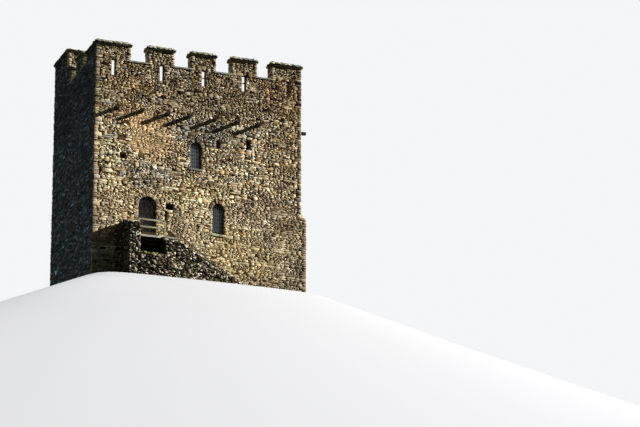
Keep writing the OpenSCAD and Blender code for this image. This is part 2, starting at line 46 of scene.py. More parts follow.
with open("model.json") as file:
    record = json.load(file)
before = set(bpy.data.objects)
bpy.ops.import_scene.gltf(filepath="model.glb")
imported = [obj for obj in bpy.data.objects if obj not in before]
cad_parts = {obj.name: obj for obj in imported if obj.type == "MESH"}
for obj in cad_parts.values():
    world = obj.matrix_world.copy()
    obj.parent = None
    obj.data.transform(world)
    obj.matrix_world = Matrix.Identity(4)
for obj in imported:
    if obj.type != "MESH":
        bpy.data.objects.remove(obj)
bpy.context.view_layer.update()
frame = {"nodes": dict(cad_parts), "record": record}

# Nodes of each material slot
SLOT_NODES = {}
for row in frame["record"]["subparts"]:
    SLOT_NODES.setdefault(row["material_slot"], []).append(row["node"])

# Distance within which points are taken as one
WELD = 1e-5


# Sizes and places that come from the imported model
def low(node):
    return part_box(node)[0]


def high(node):
    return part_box(node)[1]


def solids(node):
    """Box of each separate solid of a node, sorted by place."""
    mesh = bmesh.new()
    mesh.from_mesh(frame["nodes"][node].data)
    bmesh.ops.remove_doubles(mesh, verts=mesh.verts[:], dist=WELD)
    left = set(mesh.verts)
    found = []
    while left:
        group = [left.pop()]
        for v in group:
            for e in v.link_edges:
                w = e.other_vert(v)
                if w in left:
                    left.remove(w)
                    group.append(w)
        points = [v.co for v in group]
        found.append((Vector([min(p[i] for p in points) for i in range(3)]),
                      Vector([max(p[i] for p in points) for i in range(3)])))
    mesh.free()
    return sorted(found, key=lambda b: tuple(round(c, 3) for c in b[0]))


HALF_W = high("back_wall").x
KEEP_D = high("back_wall").y
WALK_Z = high("left_wall").z
BAND_Z = high("front_parapet").z
SIDE_BAND_Z = high("right_parapet").z
MERLON_TOP = high("front_merlons").z
SIDE_TOP = high("right_merlons").z
PARAPET_T = high("front_parapet").y
PLINTH_X = high("right_plinth").x
PLINTH_TOP = high("right_plinth").z
TURRET_X = high("turret_walls").x
TURRET_Y = low("turret_walls").y
TURRET_TOP = high("turret_walls").z
FLOOR_Z = high("first_floor").z
SPRING_Z = low("front_wall_over_door").z
LANDING_Z = high("stair_steps").z
FORE_OUT = -low("stub_wall").y
STUB_X = (low("stub_wall").x, high("stub_wall").x)
STAIR_X = low("stair_core").x
STAIR_END_X = high("stair_core").x
DECK_Z = low("bridge_deck").z
PIT_TOP = high("pit_wall").z
# Where the landing ends, and the risers from the ground up to it
STAIR_TOP_X = -1.64
RISERS = 16
# Height at which the plinth's upright face ends and its slope starts
PLINTH_Z = 5.49
# Height at which the front's and the back's stones are parted into pieces
UPPER_Z = 9.95

# Cuts in the walls that no node fills: left, right, foot and top along the front
BLIND_HOLES = [(-5.04, -4.72, 8.24, 8.55), (-2.06, -1.63, 5.25, 5.59), (1.15, 1.35, 9.63, 10.16),
               (3.09, 3.33, 9.78, 10.36), (-2.13, -2.03, 3.84, 5.13)]
# How far the lower windows' sills slope down to the face, and the height of the stone below them
LOWER_SILL_DROP = 0.23
SILL_STONE = 0.15
SLIT_X = [-5.585, -2.465, 0.265, 2.895, 5.835]
SLIT_W = 0.23
SLIT_INNER_W = 0.62
SLIT_Z = (13.6, 14.65)
SLIT_INNER_TOP = 14.8
# Left and right edge of the turret's doorway, and its top
TURRET_DOOR = (-6.1, -5.54, 15.3)
# Length left free on the turret's faces for the stones at its corners
TURRET_CORNER = 0.26
# Width of the arch stones round the windows and the doorway
WINDOW_RING = 0.26
DOOR_RING = 0.3
# Top of the broken wall, as distance from the keep and height
STUB_TOP = [(0, 3.95), (0.7, 3.95), (0.73, 3.8), (1.23, 3.72), (1.26, 3.54), (1.88, 3.48), (1.91, 3.33),
            (2.4, 3.33)]
# What the forebuilding hides of the front: places along it, and the height hidden at each
COVER_X = [STUB_X[0], STUB_X[1], STUB_X[1] + 0.001, STAIR_X, STAIR_X + 0.001, STAIR_TOP_X, STAIR_END_X + 0.25]
COVER_Z = [STUB_TOP[0][1], STUB_TOP[0][1], 0.0, 0.0, LANDING_Z, LANDING_Z, 0.0]
# Camera of the photograph
CAMERA_PLACE = (-63.13, -196.71, -65.75)
CAMERA_YAW = 0.3468
CAMERA_PITCH = 0.3310
CAMERA_ROLL = -0.0009
CAMERA_LENS = 199.97


class MasonrySettings(bpy.types.PropertyGroup):
    """Sizes of the wall stones."""
    course: FloatProperty(name="Course", description="Mean height of a course", default=0.25, unit="LENGTH")
    patch: FloatProperty(name="Patch", description="Mean length of a patch within a course", default=0.85,
                         unit="LENGTH")
    slenderness: FloatProperty(name="Slenderness", description="Length of a stone to its height", default=2.7)
    joint: FloatProperty(name="Joint", description="Width of the joints", default=0.013, unit="LENGTH")
    proud_least: FloatProperty(name="Least relief", description="How far the flattest stones stand out",
                               default=0.008, unit="LENGTH")
    proud_most: FloatProperty(name="Most relief", description="How far the boldest stones stand out",
                              default=0.05, unit="LENGTH")
    wave: FloatProperty(name="Wave", description="How far courses wander up and down", default=0.055,
                        unit="LENGTH")
    missing: FloatProperty(name="Missing", description="Share of the stones that have fallen out",
                           default=0.03, subtype="FACTOR")


class ColourSettings(bpy.types.PropertyGroup):
    """Main colours."""
    cream: FloatVectorProperty(name="Cream stone", description="Pale wall stone", subtype="COLOR",
                               default=(0.80, 0.69, 0.46))
    tan: FloatVectorProperty(name="Tan stone", description="Main wall stone", subtype="COLOR",
                             default=(0.65, 0.52, 0.30))
    ochre: FloatVectorProperty(name="Ochre stone", description="Warm wall stone", subtype="COLOR",
                               default=(0.58, 0.42, 0.21))
    grey: FloatVectorProperty(name="Grey stone", description="Grey wall stone", subtype="COLOR",
                              default=(0.50, 0.46, 0.36))
    brown: FloatVectorProperty(name="Brown stone", description="Brown wall stone", subtype="COLOR",
                               default=(0.34, 0.235, 0.115))
    dark: FloatVectorProperty(name="Dark stone", description="Darkest wall stone", subtype="COLOR",
                              default=(0.11, 0.07, 0.038))
    mortar: FloatVectorProperty(name="Mortar", description="Weathered mortar in the joints", subtype="COLOR",
                                default=(0.075, 0.048, 0.021))
    slate: FloatVectorProperty(name="Slate", description="Roof slate", subtype="COLOR",
                               default=(0.095, 0.10, 0.11))
    lichen: FloatVectorProperty(name="Lichen", description="Yellow-green lichen", subtype="COLOR",
                                default=(0.33, 0.33, 0.12))
    moss: FloatVectorProperty(name="Moss", description="Moss on the forebuilding", subtype="COLOR",
                              default=(0.20, 0.22, 0.035))


class LightSettings(bpy.types.PropertyGroup):
    """Light and stage."""
    sun: FloatProperty(name="Sun", description="Strength of the sun", default=10.8)
    sky: FloatProperty(name="Sky", description="Strength of the even light", default=0.04)
    back: FloatProperty(name="Back light", description="Strength of the soft light from behind", default=1.6)
    backdrop: FloatProperty(name="Backdrop", description="Paleness of the backdrop, 1 is white", default=0.93)


def masonry():
    return bpy.context.scene.keep_masonry


def colours():
    return bpy.context.scene.keep_colours


# Faces on which stones are laid: a corner, and the directions across, up and out
Face = namedtuple("Face", "name origin across up out")
UP = Vector((0, 0, 1))
FRONT = Face("front", Vector((0, 0, 0)), Vector((1, 0, 0)), UP, Vector((0, -1, 0)))
BACK = Face("back", Vector((0, KEEP_D, 0)), Vector((-1, 0, 0)), UP, Vector((0, 1, 0)))
RIGHT = Face("right", Vector((HALF_W, 0, 0)), Vector((0, 1, 0)), UP, Vector((1, 0, 0)))
LEFT = Face("left", Vector((-HALF_W, 0, 0)), Vector((0, -1, 0)), UP, Vector((-1, 0, 0)))
PLINTH = RIGHT._replace(name="plinth", origin=Vector((PLINTH_X, 0, 0)))


def moved_out(face, distance):
    return face._replace(origin=face.origin + face.out * distance)


def inner(face):
    """The inner face of a parapet, seen from the wall-walk."""
    return Face("inner", face.origin - face.out * PARAPET_T, -face.across, UP, -face.out)


def slope_face(corner, across, up):
    return Face("slope", corner, across, up, across.cross(up).normalized())


def edges_on(face, lo, hi):
    """Left and right edge of a box along a face."""
    return sorted(((lo - face.origin).dot(face.across), (hi - face.origin).dot(face.across)))


def spans(node, face):
    """Left and right edge of each solid of a node along a face."""
    return sorted(edges_on(face, lo, hi) for lo, hi in solids(node))


def near(a, b):
    return abs(a - b) < 0.01


def settle(name, data, material, body="keep", replaces=()):
    """Puts a finished mesh into the scene as a piece that rides on a body."""
    data.materials.append(material)
    piece = bpy.data.objects.new(name, data)
    bpy.context.scene.collection.objects.link(piece)
    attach(piece, body)
    if replaces:
        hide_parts(*replaces)


# Prototypes of stones, each within -1..1 across and up and 0..1 out
def uneven_prism(rng, corners):
    """A prism with a roughly square outline and shoved corners."""
    roundness = 0.35
    shove_across, shove_up = 0.14, 0.17
    mesh = bmesh.new()
    turn = 0.0 if corners % 4 else math.pi / corners
    bmesh.ops.create_cone(mesh, cap_ends=True, segments=corners, radius1=1, radius2=1, depth=1,
                          matrix=Matrix.Rotation(turn, 4, "Z"))
    for v in mesh.verts:
        angle = math.atan2(v.co.y, v.co.x)
        reach = 1 / max(abs(math.cos(angle)), abs(math.sin(angle)))
        v.co.x *= roundness + (1 - roundness) * reach
        v.co.y *= roundness + (1 - roundness) * reach
        v.co.z += 0.5
    wide = max(abs(v.co.x) for v in mesh.verts)
    tall = max(abs(v.co.y) for v in mesh.verts)
    for v in mesh.verts:
        v.co.x = v.co.x / wide + rng.uniform(-shove_across, shove_across)
        v.co.y = math.copysign(abs(v.co.y / tall) ** 0.6, v.co.y) + rng.uniform(-shove_up, shove_up)
    mesh.normal_update()
    return mesh


def top_face(mesh):
    return max(mesh.faces, key=lambda f: f.calc_center_median().z)


def chip_prototype(rng, corners):
    """A small rough stone: an uneven prism with a smaller, slanting face."""
    mesh = uneven_prism(rng, corners)
    slant = rng.uniform(-0.22, 0.22, 2)
    for v in mesh.verts:
        if v.co.z > 0.5:
            v.co.x *= 0.945
            v.co.y *= 0.72
            v.co.z = 0.82 + slant[0] * v.co.x + slant[1] * v.co.y
    return mesh


def rubble_prototype(rng, corners):
    """A rough stone: an uneven prism whose edge is broken towards its face."""
    mesh = uneven_prism(rng, corners)
    for v in mesh.verts:
        v.co.z *= 0.72
    top = top_face(mesh)
    bmesh.ops.inset_region(mesh, faces=[top], thickness=0.2, depth=0.28)
    for v in top.verts:
        v.co.x *= 1.15
        v.co.z = 0.92 + rng.uniform(-0.22, 0.08)
    return mesh


def upright_cube():
    """A cube within -1..1 across and up and 0..1 out."""
    mesh = bmesh.new()
    bmesh.ops.create_cube(mesh, size=2)
    for v in mesh.verts:
        v.co.z = v.co.z / 2 + 0.5
    return mesh


def block_prototype(rng):
    """A squared block with worn edges, for corners and arches."""
    mesh = bmesh.new()
    bmesh.ops.create_cube(mesh, size=2)
    for v in mesh.verts:
        v.co += Vector(rng.uniform(-0.05, 0.05, 3))
    bmesh.ops.bevel(mesh, geom=mesh.edges[:], offset=0.16, affect="EDGES", segments=1, profile=0.5,
                    material=-1)
    for v in mesh.verts:
        v.co.z = v.co.z / 2 + 0.5
    return mesh


def plate_prototype():
    """A thin plate with bevelled edges, for slates and flags."""
    mesh = upright_cube()
    mesh.normal_update()
    bmesh.ops.inset_region(mesh, faces=[top_face(mesh)], thickness=0.08, depth=0.0)
    for v in mesh.verts:
        if v.co.z > 0.5 and max(abs(v.co.x), abs(v.co.y)) > 0.97:
            v.co.z = 0.6
    return mesh


Shape = namedtuple("Shape", "points starts corners")


def as_arrays(mesh):
    """Vertices and faces of a prototype as arrays, for joining many copies."""
    bmesh.ops.recalc_face_normals(mesh, faces=mesh.faces[:])
    mesh.verts.index_update()
    points = np.array([v.co[:] for v in mesh.verts])
    corners = [[v.index for v in f.verts] for f in mesh.faces]
    starts = np.cumsum([0] + [len(c) for c in corners[:-1]])
    mesh.free()
    return Shape(points, starts, np.array(sum(corners, [])))


def prototypes():
    rng = np.random.default_rng(11)
    return {
        "plate": [as_arrays(plate_prototype())],
        "chip": [as_arrays(chip_prototype(rng, n)) for n in (4, 4, 4, 4, 4, 4, 4, 4, 4, 5, 5, 6, 6)],
        "rubble": [as_arrays(rubble_prototype(rng, n)) for n in (5, 4, 6, 4, 5, 7, 6, 8)],
        "block": [as_arrays(block_prototype(rng)) for _ in range(4)],
    }


# Stones lower than this are laid as chips, with fewer faces
CHIP_BELOW = 0.105
# Half side under which a stone is left out, and half side over which it leans less
LEAST_HALF = 0.012
LEANING_HALF = 0.09


class Heap:
    """Stones that become one mesh: copies of prototypes, each with its own place, size, turn and tint."""
    shapes = {}

    def __init__(self, seed):
        if not Heap.shapes:
            Heap.shapes.update(prototypes())
        self.rng = np.random.default_rng(seed)
        self.laid = {}

    def put(self, kind, centre, axes, tint):
        """Adds one stone. The axes are half its width, half its height and its whole depth, as vectors."""
        pick = int(self.rng.integers(len(Heap.shapes[kind])))
        self.laid.setdefault((kind, pick), []).append((centre, axes, tint))

    def lay(self, face, left, right, foot, top, tint, kind=None, proud=None, sunk=0.012, tilt=0.12,
            turn=0.04):
        """Adds a stone on a face, between the given edges. Low stones are chips, and others are rubble."""
        s = masonry()
        kind = kind or ("chip" if top - foot < CHIP_BELOW else "rubble")
        rng = self.rng
        width = (right - left - s.joint * rng.uniform(0.1, 0.8)) / 2
        height = (top - foot - s.joint * rng.uniform(0.6, 1.5)) / 2
        if width < LEAST_HALF or height < LEAST_HALF:
            return
        if proud is None:
            proud = s.proud_least + (s.proud_most - s.proud_least) * rng.beta(1.5, 2.2)
        # Long stones turn and lean less than short ones
        twist = rng.normal(0, turn) * min(1.0, height / width * 2.5)
        lean = rng.normal(0, tilt, 2)
        across = face.across + face.up * twist + face.out * lean[0] * 0.5 * min(1.0, LEANING_HALF / width)
        up = face.up - face.across * twist + face.out * lean[1] * min(1.0, LEANING_HALF / height)
        centre = face.origin + face.across * (left + right) / 2 + face.up * (foot + top) / 2 - face.out * sunk
        self.put(kind, centre, (across * width, up * height, face.out * (proud + sunk)), tint)

    def join(self, name, material):
        """Turns the heap into one piece."""
        points, corners, starts, tints = [], [], [], []
        first_point, first_corner = 0, 0
        for key in sorted(self.laid):
            kind, pick = key
            shape = Heap.shapes[kind][pick]
            stones = self.laid[key]
            count, size = len(stones), len(shape.points)
            centres = np.array([s[0][:] for s in stones])
            axes = np.array([[a[:] for a in s[1]] for s in stones])
            placed = np.einsum("pk,skc->spc", shape.points, axes) + centres[:, None, :]
            # No stone reaches below the ground
            placed[:, :, 2] = placed[:, :, 2].clip(min=0)
            if (np.einsum("sc,sc->s", np.cross(axes[:, 0], axes[:, 1]), axes[:, 2]) < 0).any():
                raise RuntimeError(name + " has a stone that is inside out")
            number = np.arange(count)[:, None]
            points.append(placed.reshape(-1, 3))
            corners.append((shape.corners + first_point + size * number).ravel())
            starts.append((shape.starts + first_corner + len(shape.corners) * number).ravel())
            tints.append(np.repeat([tuple(s[2]) + (1.0,) for s in stones], size, axis=0))
            first_point += size * count
            first_corner += len(shape.corners) * count
        mesh = bpy.data.meshes.new(name)
        points, corners, starts = [np.concatenate(part) for part in (points, corners, starts)]
        mesh.vertices.add(len(points))
        mesh.vertices.foreach_set("co", points.astype(np.float32).ravel())
        mesh.loops.add(len(corners))
        mesh.loops.foreach_set("vertex_index", corners.astype(np.int32))
        mesh.polygons.add(len(starts))
        mesh.polygons.foreach_set("loop_start", starts.astype(np.int32))
        mesh.update(calc_edges=True)
        tint = mesh.color_attributes.new("tint", "FLOAT_COLOR", "POINT")
        tint.data.foreach_set("color", np.concatenate(tints).astype(np.float32).ravel())
        settle(name, mesh, material)


# Colours of single stones
Patch = namedtuple("Patch", "middle reach factor")
# Soft patches of weathering on each face, and one of painted blue light in the broken wall's cast shadow:
# middle and reach along it and up, and a colour factor
PATCHES = {
    "front": [
        Patch((-4.3, 11.2), (1.1, 1.0), (1.04, 0.92, 0.79)),
        Patch((-4.8, 13.1), (1.8, 0.9), (1.04, 0.94, 0.82)),
        Patch((-0.2, 10.5), (1.9, 1.0), (0.64, 0.70, 0.80)),
        Patch((1.9, 10.6), (1.8, 0.8), (0.76, 0.82, 0.92)),
        Patch((-3.0, 7.3), (1.7, 0.75), (0.78, 0.84, 0.96)),
        Patch((5.7, 9.6), (1.6, 2.6), (0.78, 0.74, 0.68)),
        Patch((5.6, 13.4), (1.6, 1.6), (0.96, 0.83, 0.73)),
        Patch((4.9, 6.2), (1.6, 1.2), (0.80, 0.78, 0.80)),
        Patch((5.8, 4.9), (1.2, 0.7), (0.62, 0.58, 0.56)),
        # Painted light: stones in the broken wall's cast shadow are lighter and bluer, like sky light in
        # shade
        Patch((-5.9, 1.4), (1.0, 2.0), (1.3, 1.8, 1.9)),
        Patch((0.1, 6.5), (2.6, 0.9), (1.28, 1.24, 1.09)),
        Patch((5.4, 2.0), (1.9, 1.6), (0.86, 0.88, 0.90)),
        Patch((-5.9, 8.0), (1.1, 1.9), (1.10, 1.12, 1.10)),
        Patch((-4.9, 5.4), (1.5, 1.2), (1.05, 1.02, 0.98)),
        Patch((2.9, 2.6), (2.6, 1.8), (1.10, 1.06, 0.90))],
    "back": [
        Patch((2.6, 9.2), (2.6, 2.6), (1.16, 1.0, 0.82)),
        Patch((-2.4, 5.0), (2.8, 1.6), (0.70, 0.74, 0.80)),
        Patch((4.6, 2.2), (2.8, 1.6), (0.86, 0.92, 0.80))],
    "right": [
        Patch((2.6, 9.6), (1.8, 2.4), (1.12, 1.0, 0.84)),
        Patch((7.2, 6.4), (2.2, 2.0), (0.74, 0.78, 0.84))],
}
# A golden stretch of the front, where the stones are nearly alike and flat, and how far it takes their colour
GOLDEN = Patch((-3.1, 9.95), (1.75, 1.85), (0.72, 0.50, 0.245))
GOLDEN_SHARE = 0.7
GOLDEN_FLATNESS = 0.8
# Odds of the stone colours, from cream to dark
KIND_ODDS = [0.31, 0.33, 0.10, 0.08, 0.13, 0.05]
# Tone of whole stretches of wall by height: heights and factors between which it runs smoothly
TONE_Z = [0.0, 2.0, 5.0, 11.2, 12.0, 13.2, 14.0, 18.0]
TONE = [0.66, 0.89, 0.95, 0.87, 0.60, 0.55, 0.565, 0.565]
# How much single stones differ in colour, by height
SPREAD_Z = [1.0, 4.5, 8.0, 12.0]
SPREAD = [0.50, 0.62, 0.95, 1.12]
# How much of their relief the front's stones keep, by height
RELIEF_Z = [2.0, 6.0, 8.0]
RELIEF = [0.6, 0.7, 1.0]
# Tone of each side. The left is damp dark stone, made darker and bluer still as painted shade. The right side
# and the plinth, which take the full sun, are darkened as painted shade; the back is a little darker. Neither
# the right nor the back is seen from the camera.
FACE_TONE_AND_PAINTED_SHADE = {"left": (0.135, 0.22, 0.38), "back": (0.9, 0.9, 0.92), "right": (0.5, 0.5, 0.5),
             "plinth": (0.5, 0.5, 0.5)}
# Factors of the left side's stones and their odds
LEFT_FACTORS = [0.3, 0.65, 1.15, 3.3]
LEFT_ODDS = [0.34, 0.3, 0.24, 0.12]
# Painted shade: factor that darkens the wall inside the pit
PIT_PAINTED_SHADE = 0.07
DARKEST, PALEST = 0.003, 0.86


def smooth_step(x):
    x = min(1.0, max(0.0, x))
    return x * x * (3 - 2 * x)


def wander(point, scale, seed):
    """Smooth noise from -1 to 1."""
    return noise.noise(Vector(point) * scale + Vector((seed * 17.3, seed * 7.7, seed * 3.1)))


def patch_share(patch, along, height, blur):
    """How far a place lies within a patch, 0 to 1, with a blurred edge."""
    far = math.hypot((along - patch.middle[0]) / patch.reach[0], (height - patch.middle[1]) / patch.reach[1])
    return smooth_step((1.15 - far + blur) / 0.55)


def stone_tint(rng, face_name, along, height, dull=1.0):
    """Colour of one stone of the keep from its place."""
    c = colours()
    kinds = [np.array(kind) for kind in (c.cream, c.tan, c.ochre, c.grey, c.brown, c.dark)]
    tint = kinds[rng.choice(len(kinds), p=KIND_ODDS)] * rng.uniform(0.68, 1.32)
    mean = sum(kind * part for kind, part in zip(kinds, KIND_ODDS))
    tint = mean + (tint - mean) * np.interp(height, SPREAD_Z, SPREAD)
    tint = tint * np.interp(height, TONE_Z, TONE) * dull
    place = (along, height, 0)
    blur = wander(place, 0.55, 3) * 0.35 + wander(place, 1.7, 5) * 0.25
    for patch in PATCHES.get(face_name, ()):
        share = patch_share(patch, along, height, blur)
        tint = tint * (1 - share + share * np.array(patch.factor))
    if face_name == "front":
        share = GOLDEN_SHARE * patch_share(GOLDEN, along, height, blur)
        tint = tint * (1 - share) + np.array(GOLDEN.factor) * share
    tint = tint * (1 + 0.22 * wander(place, 0.9, 9))
    # Painted shade: the front's stones inside the pit are darkened almost to black
    if face_name == "front" and STUB_X[1] < along < STAIR_X and height < DECK_Z:
        tint = tint * PIT_PAINTED_SHADE
    if face_name == "left":
        tint = tint * rng.choice(LEFT_FACTORS, p=LEFT_ODDS)
    return np.clip(tint * np.array(FACE_TONE_AND_PAINTED_SHADE.get(face_name, (1, 1, 1))), DARKEST, PALEST)


# Where no wall stones lie

# Distance from an opening within which no stone has fallen out
KEPT_ROUND_GAPS = 0.34
# Height that parts the lower windows from the upper ones, and how far below its glass an opening goes
LOWER_WINDOW_Z = 5.0
UNDER_GLASS = 0.07
# Room round a blind hole, sideways and up and down
HOLE_ROOM = (0.025, 0.02)
# Joint round a spout, and the width up to which a solid is a single spout
SPOUT_JOINT = 0.015
SPOUT_WIDEST = 0.3
# Shorter stretches than this stay empty
LEAST_STRETCH = 0.03


class Gap:
    """An opening with a level foot and a flat or arched top. The ring is the arch stones' width."""

    def __init__(self, left, right, foot, top, radius=0.0, ring=0.0):
        self.left, self.right, self.foot = left, right, foot
        self.middle = (left + right) / 2
        self.radius, self.ring = radius, ring
        self.arched = radius > 0
        self.spring = top - radius
        self.head = top + ring

    def close_to(self, along, height):
        """Whether a place lies in the gap or close to it."""
        reach = KEPT_ROUND_GAPS
        beside = self.left - reach < along < self.right + reach
        return beside and self.foot - reach < height < self.head + reach

    def at(self, height):
        """Left and right edge of the gap at a height, or None."""
        if not self.foot < height < self.head:
            return None
        if not self.arched or height < self.spring:
            return self.left, self.right
        half = math.sqrt(max(0.0, (self.radius + self.ring) ** 2 - (height - self.spring) ** 2))
        return self.middle - half, self.middle + half


def slit_gaps(places, width=SLIT_W, top=SLIT_Z[1]):
    return [Gap(x - width / 2, x + width / 2, SLIT_Z[0], top) for x in places]


def window_gaps(face):
    """Gaps of the windows whose glass lies less than a metre behind a face."""
    made = []
    for lo, hi in solids("window_glass"):
        if -1 < ((lo + hi) / 2 - face.origin).dot(face.out) < 0:
            left, right = edges_on(face, lo, hi)
            foot = lo.z - UNDER_GLASS
            if foot < LOWER_WINDOW_Z:
                foot -= LOWER_SILL_DROP + SILL_STONE
            made.append(Gap(left, right, foot, hi.z, (right - left) / 2, WINDOW_RING))
    return made


def spout_gaps(face):
    """Gaps of the spouts that come out of a face."""
    made = []
    for lo, hi in solids("spouts"):
        ends = [(lo - face.origin).dot(face.out), (hi - face.origin).dot(face.out)]
        left, right = edges_on(face, lo, hi)
        if min(ends) < 0 < max(ends) and right - left < SPOUT_WIDEST:
            made.append(Gap(left - SPOUT_JOINT, right + SPOUT_JOINT, lo.z - SPOUT_JOINT, hi.z + SPOUT_JOINT))
    return made


def front_gaps():
    aside, up = HOLE_ROOM
    made = [Gap(left - aside, right + aside, foot - up, top + up) for left, right, foot, top in BLIND_HOLES]
    made += slit_gaps(SLIT_X) + window_gaps(FRONT) + spout_gaps(FRONT)
    lo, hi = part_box("door_step")
    half = (hi.x - lo.x) / 2
    made.append(Gap(lo.x, hi.x, LANDING_Z, SPRING_Z + half, half, DOOR_RING))
    return made


def hidden_height(along):
    """Height up to which the forebuilding hides the front."""
    return float(np.interp(along, COVER_X, COVER_Z, left=-1, right=-1))


def free_stretches(start, finish, height, gaps):
    """What is left of a stretch at a height when the gaps are taken out."""
    stretches = [(start, finish)]
    for gap in gaps:
        edges = gap.at(height)
        if edges is None:
            continue
        left = []
        for a, b in stretches:
            if edges[1] <= a or edges[0] >= b:
                left.append((a, b))
                continue
            if edges[0] > a:
                left.append((a, edges[0]))
            if edges[1] < b:
                left.append((edges[1], b))
        stretches = left
    return [s for s in stretches if s[1] - s[0] > LEAST_STRETCH]


def split(rng, start, finish, mean, unevenness=0.32):
    """Cuts a stretch into pieces of about a mean length. The cuts stray by a part of a piece."""
    count = max(1, int(round((finish - start) / mean)))
    cuts = np.linspace(start, finish, count + 1)
    if count > 1:
        cuts[1:-1] += rng.uniform(-unevenness, unevenness, count - 1) * (finish - start) / count
    return [(float(a), float(b)) for a, b in zip(cuts[:-1], cuts[1:])]


# Walls

# Lengths of a course's corner stones along X, along Y on the right and along Y on the left, by course
CORNER_REACH = ((0.44, 0.25, 0.07), (0.26, 0.38, 0.07), (0.34, 0.30, 0.07), (0.24, 0.46, 0.07))
# Which of these lengths the stones of a face leave free. The front and the back take the first.
CORNER_AXIS = {"right": 1, "plinth": 1, "left": 2}
# Length of the stones at the turret's own corners, and heights of corner stones
TURRET_REACH = 0.25
CORNER_HEIGHTS = [0.065, 0.085, 0.12, 0.2]
# Lengths of the stones that close a merlon's end, by course
END_REACH = (0.30, 0.19, 0.25, 0.15)
BOTH_CORNERS = ("corner", "corner")
# Odds of one to four layers of stones in a course, and the height above which they are thin ones
FINE_LAYERS = (0.04, 0.46, 0.40, 0.10)
COARSE_LAYERS = (0.07, 0.48, 0.38, 0.07)
THIN_LAYERS = (0.0, 0.20, 0.48, 0.32)
THIN_Z = 11.0
# No layer is thinner than this, and no stone is meant shorter or longer than these
THINNEST_LAYER = 0.055
SHORTEST_STONE = 0.17
LONGEST_STONE = 0.38
# A course that is shorter than this is left out
LEAST_COURSE = 0.05
# Height over which courses become level towards the foot and the top of a stretch
CALM = 0.5
# Mean relief of the stones, and how far it swings in waves and scatters from stone to stone
RELIEF_MEAN, RELIEF_SWING, RELIEF_SCATTER = 0.42, 0.75, 0.12
# Right edge of the front's stones beside the plinth's slope
SLOPE_MIDDLE_X = HALF_W + 0.14
# Size of the back's stones to the front's
BACK_SIZE = 1.15
# Tone of the turret's side towards the wall-walk
TURRET_TONE = (0.66, 0.74, 0.68)
# Length of the side merlons at the corners, inside the parapet
CORNER_MERLON = 1.5


def course_table():
    """Course lines shared by all faces, so that they meet at the corners."""
    stops = [0.0, PLINTH_Z, PLINTH_TOP, UPPER_Z, WALK_Z, BAND_Z, SIDE_BAND_Z, MERLON_TOP, SIDE_TOP,
             TURRET_TOP]
    rng = np.random.default_rng(5)
    lines = [0.0]
    for a, b in zip(stops[:-1], stops[1:]):
        lines += [top for _, top in split(rng, a, b, masonry().course, 0.16)]
    return lines


def courses(foot, top):
    lines = course_table()
    return [(a, b) for a, b in zip(lines[:-1], lines[1:]) if a > foot - 0.01 and b < top + 0.01]


def by_course(choices, course_foot):
    """One of four lengths, the same on all faces that a course runs along."""
    return choices[int(round(course_foot * 1000)) // 7 % 4]


def boldness(rng, tint_name, place, height):
    """How far a stone stands out, 0 to 1, in long and low waves along the courses."""
    level = RELIEF_MEAN + RELIEF_SWING * wander((place * 0.9, height * 11, 0), 1.0, 13)
    bold = min(1.0, max(0.0, level + rng.normal(0, RELIEF_SCATTER)))
    if tint_name == "front":
        bold = bold * (1 - GOLDEN_FLATNESS * patch_share(GOLDEN, place, height, 0))
        bold = bold * np.interp(height, RELIEF_Z, RELIEF)
    return bold


def lay_wall(heap, face, left, right, foot, top, gaps=(), ends=(0.0, 0.0), size=1.0, dull=1.0):
    """Fills a stretch of a face with rubble in courses. Ends are 'corner', 'end', or a length left free."""
    rng = heap.rng
    s = masonry()
    for v0, v1 in courses(foot, top):
        free = {"corner": by_course(CORNER_REACH, v0)[CORNER_AXIS.get(face.name, 0)],
                "end": by_course(END_REACH, v0)}
        a, b = left + free.get(ends[0], ends[0]), right - free.get(ends[1], ends[1])
        if b - a < LEAST_COURSE:
            continue
        for p0, p1 in split(rng, a, b, s.patch * size):
            calm = min(1.0, (v0 - foot) / CALM, (top - v1) / CALM)
            lift = s.wave * calm * wander(((p0 + p1) / 2, v0, 0), 0.8, len(face.name))
            odds = COARSE_LAYERS if size > 1 else THIN_LAYERS if v0 > THIN_Z else FINE_LAYERS
            layers = min(1 + rng.choice(4, p=odds), max(1, int((v1 - v0) / THINNEST_LAYER)))
            for l0, l1 in split(rng, v0, v1, (v1 - v0) / layers, 0.22):
                lay_layer(heap, face, (p0, p1), (l0 + lift, l1 + lift), gaps, size, dull)


def lay_layer(heap, face, stretch, level, gaps, size, dull):
    """One layer of a patch, left out in gaps, where the front is hidden, and where stones have fallen out."""
    rng = heap.rng
    s = masonry()
    middle = (level[0] + level[1]) / 2
    for q0, q1 in free_stretches(*stretch, middle, gaps):
        mean = min(LONGEST_STONE, max(SHORTEST_STONE, (level[1] - level[0]) * s.slenderness))
        for e0, e1 in split(rng, q0, q1, mean * rng.uniform(0.75, 1.3) * size):
            along = (e0 + e1) / 2
            if face is FRONT and hidden_height(along) > middle:
                continue
            if rng.uniform() < s.missing and not any(g.close_to(along, middle) for g in gaps):
                continue
            # Stones end level with the foot or the flat top of a gap
            foot, top = level
            for gap in gaps:
                if gap.left < along < gap.right:
                    if foot < gap.head < top and not gap.arched:
                        foot = gap.head
                    if foot < gap.foot < top:
                        top = gap.foot
            point = face.origin + face.across * along
            place = point.x if abs(face.across.x) > 0.5 else point.y
            tint = stone_tint(rng, face.name, place, (foot + top) / 2, dull)
            bold = boldness(rng, face.name, place, foot)
            proud = s.proud_least + (s.proud_most - s.proud_least) * bold
            heap.lay(face, e0, e1, foot, top, tint, proud=proud)


def merlon_stones(heap, face, node, gaps, size=1.0):
    """Merlons of the front or the back."""
    for m0, m1 in spans(node, face):
        trims = ("corner" if near(m0, -HALF_W) else "end", "corner" if near(m1, HALF_W) else "end")
        lay_wall(heap, face, m0, m1, BAND_Z, MERLON_TOP, gaps, trims, size)


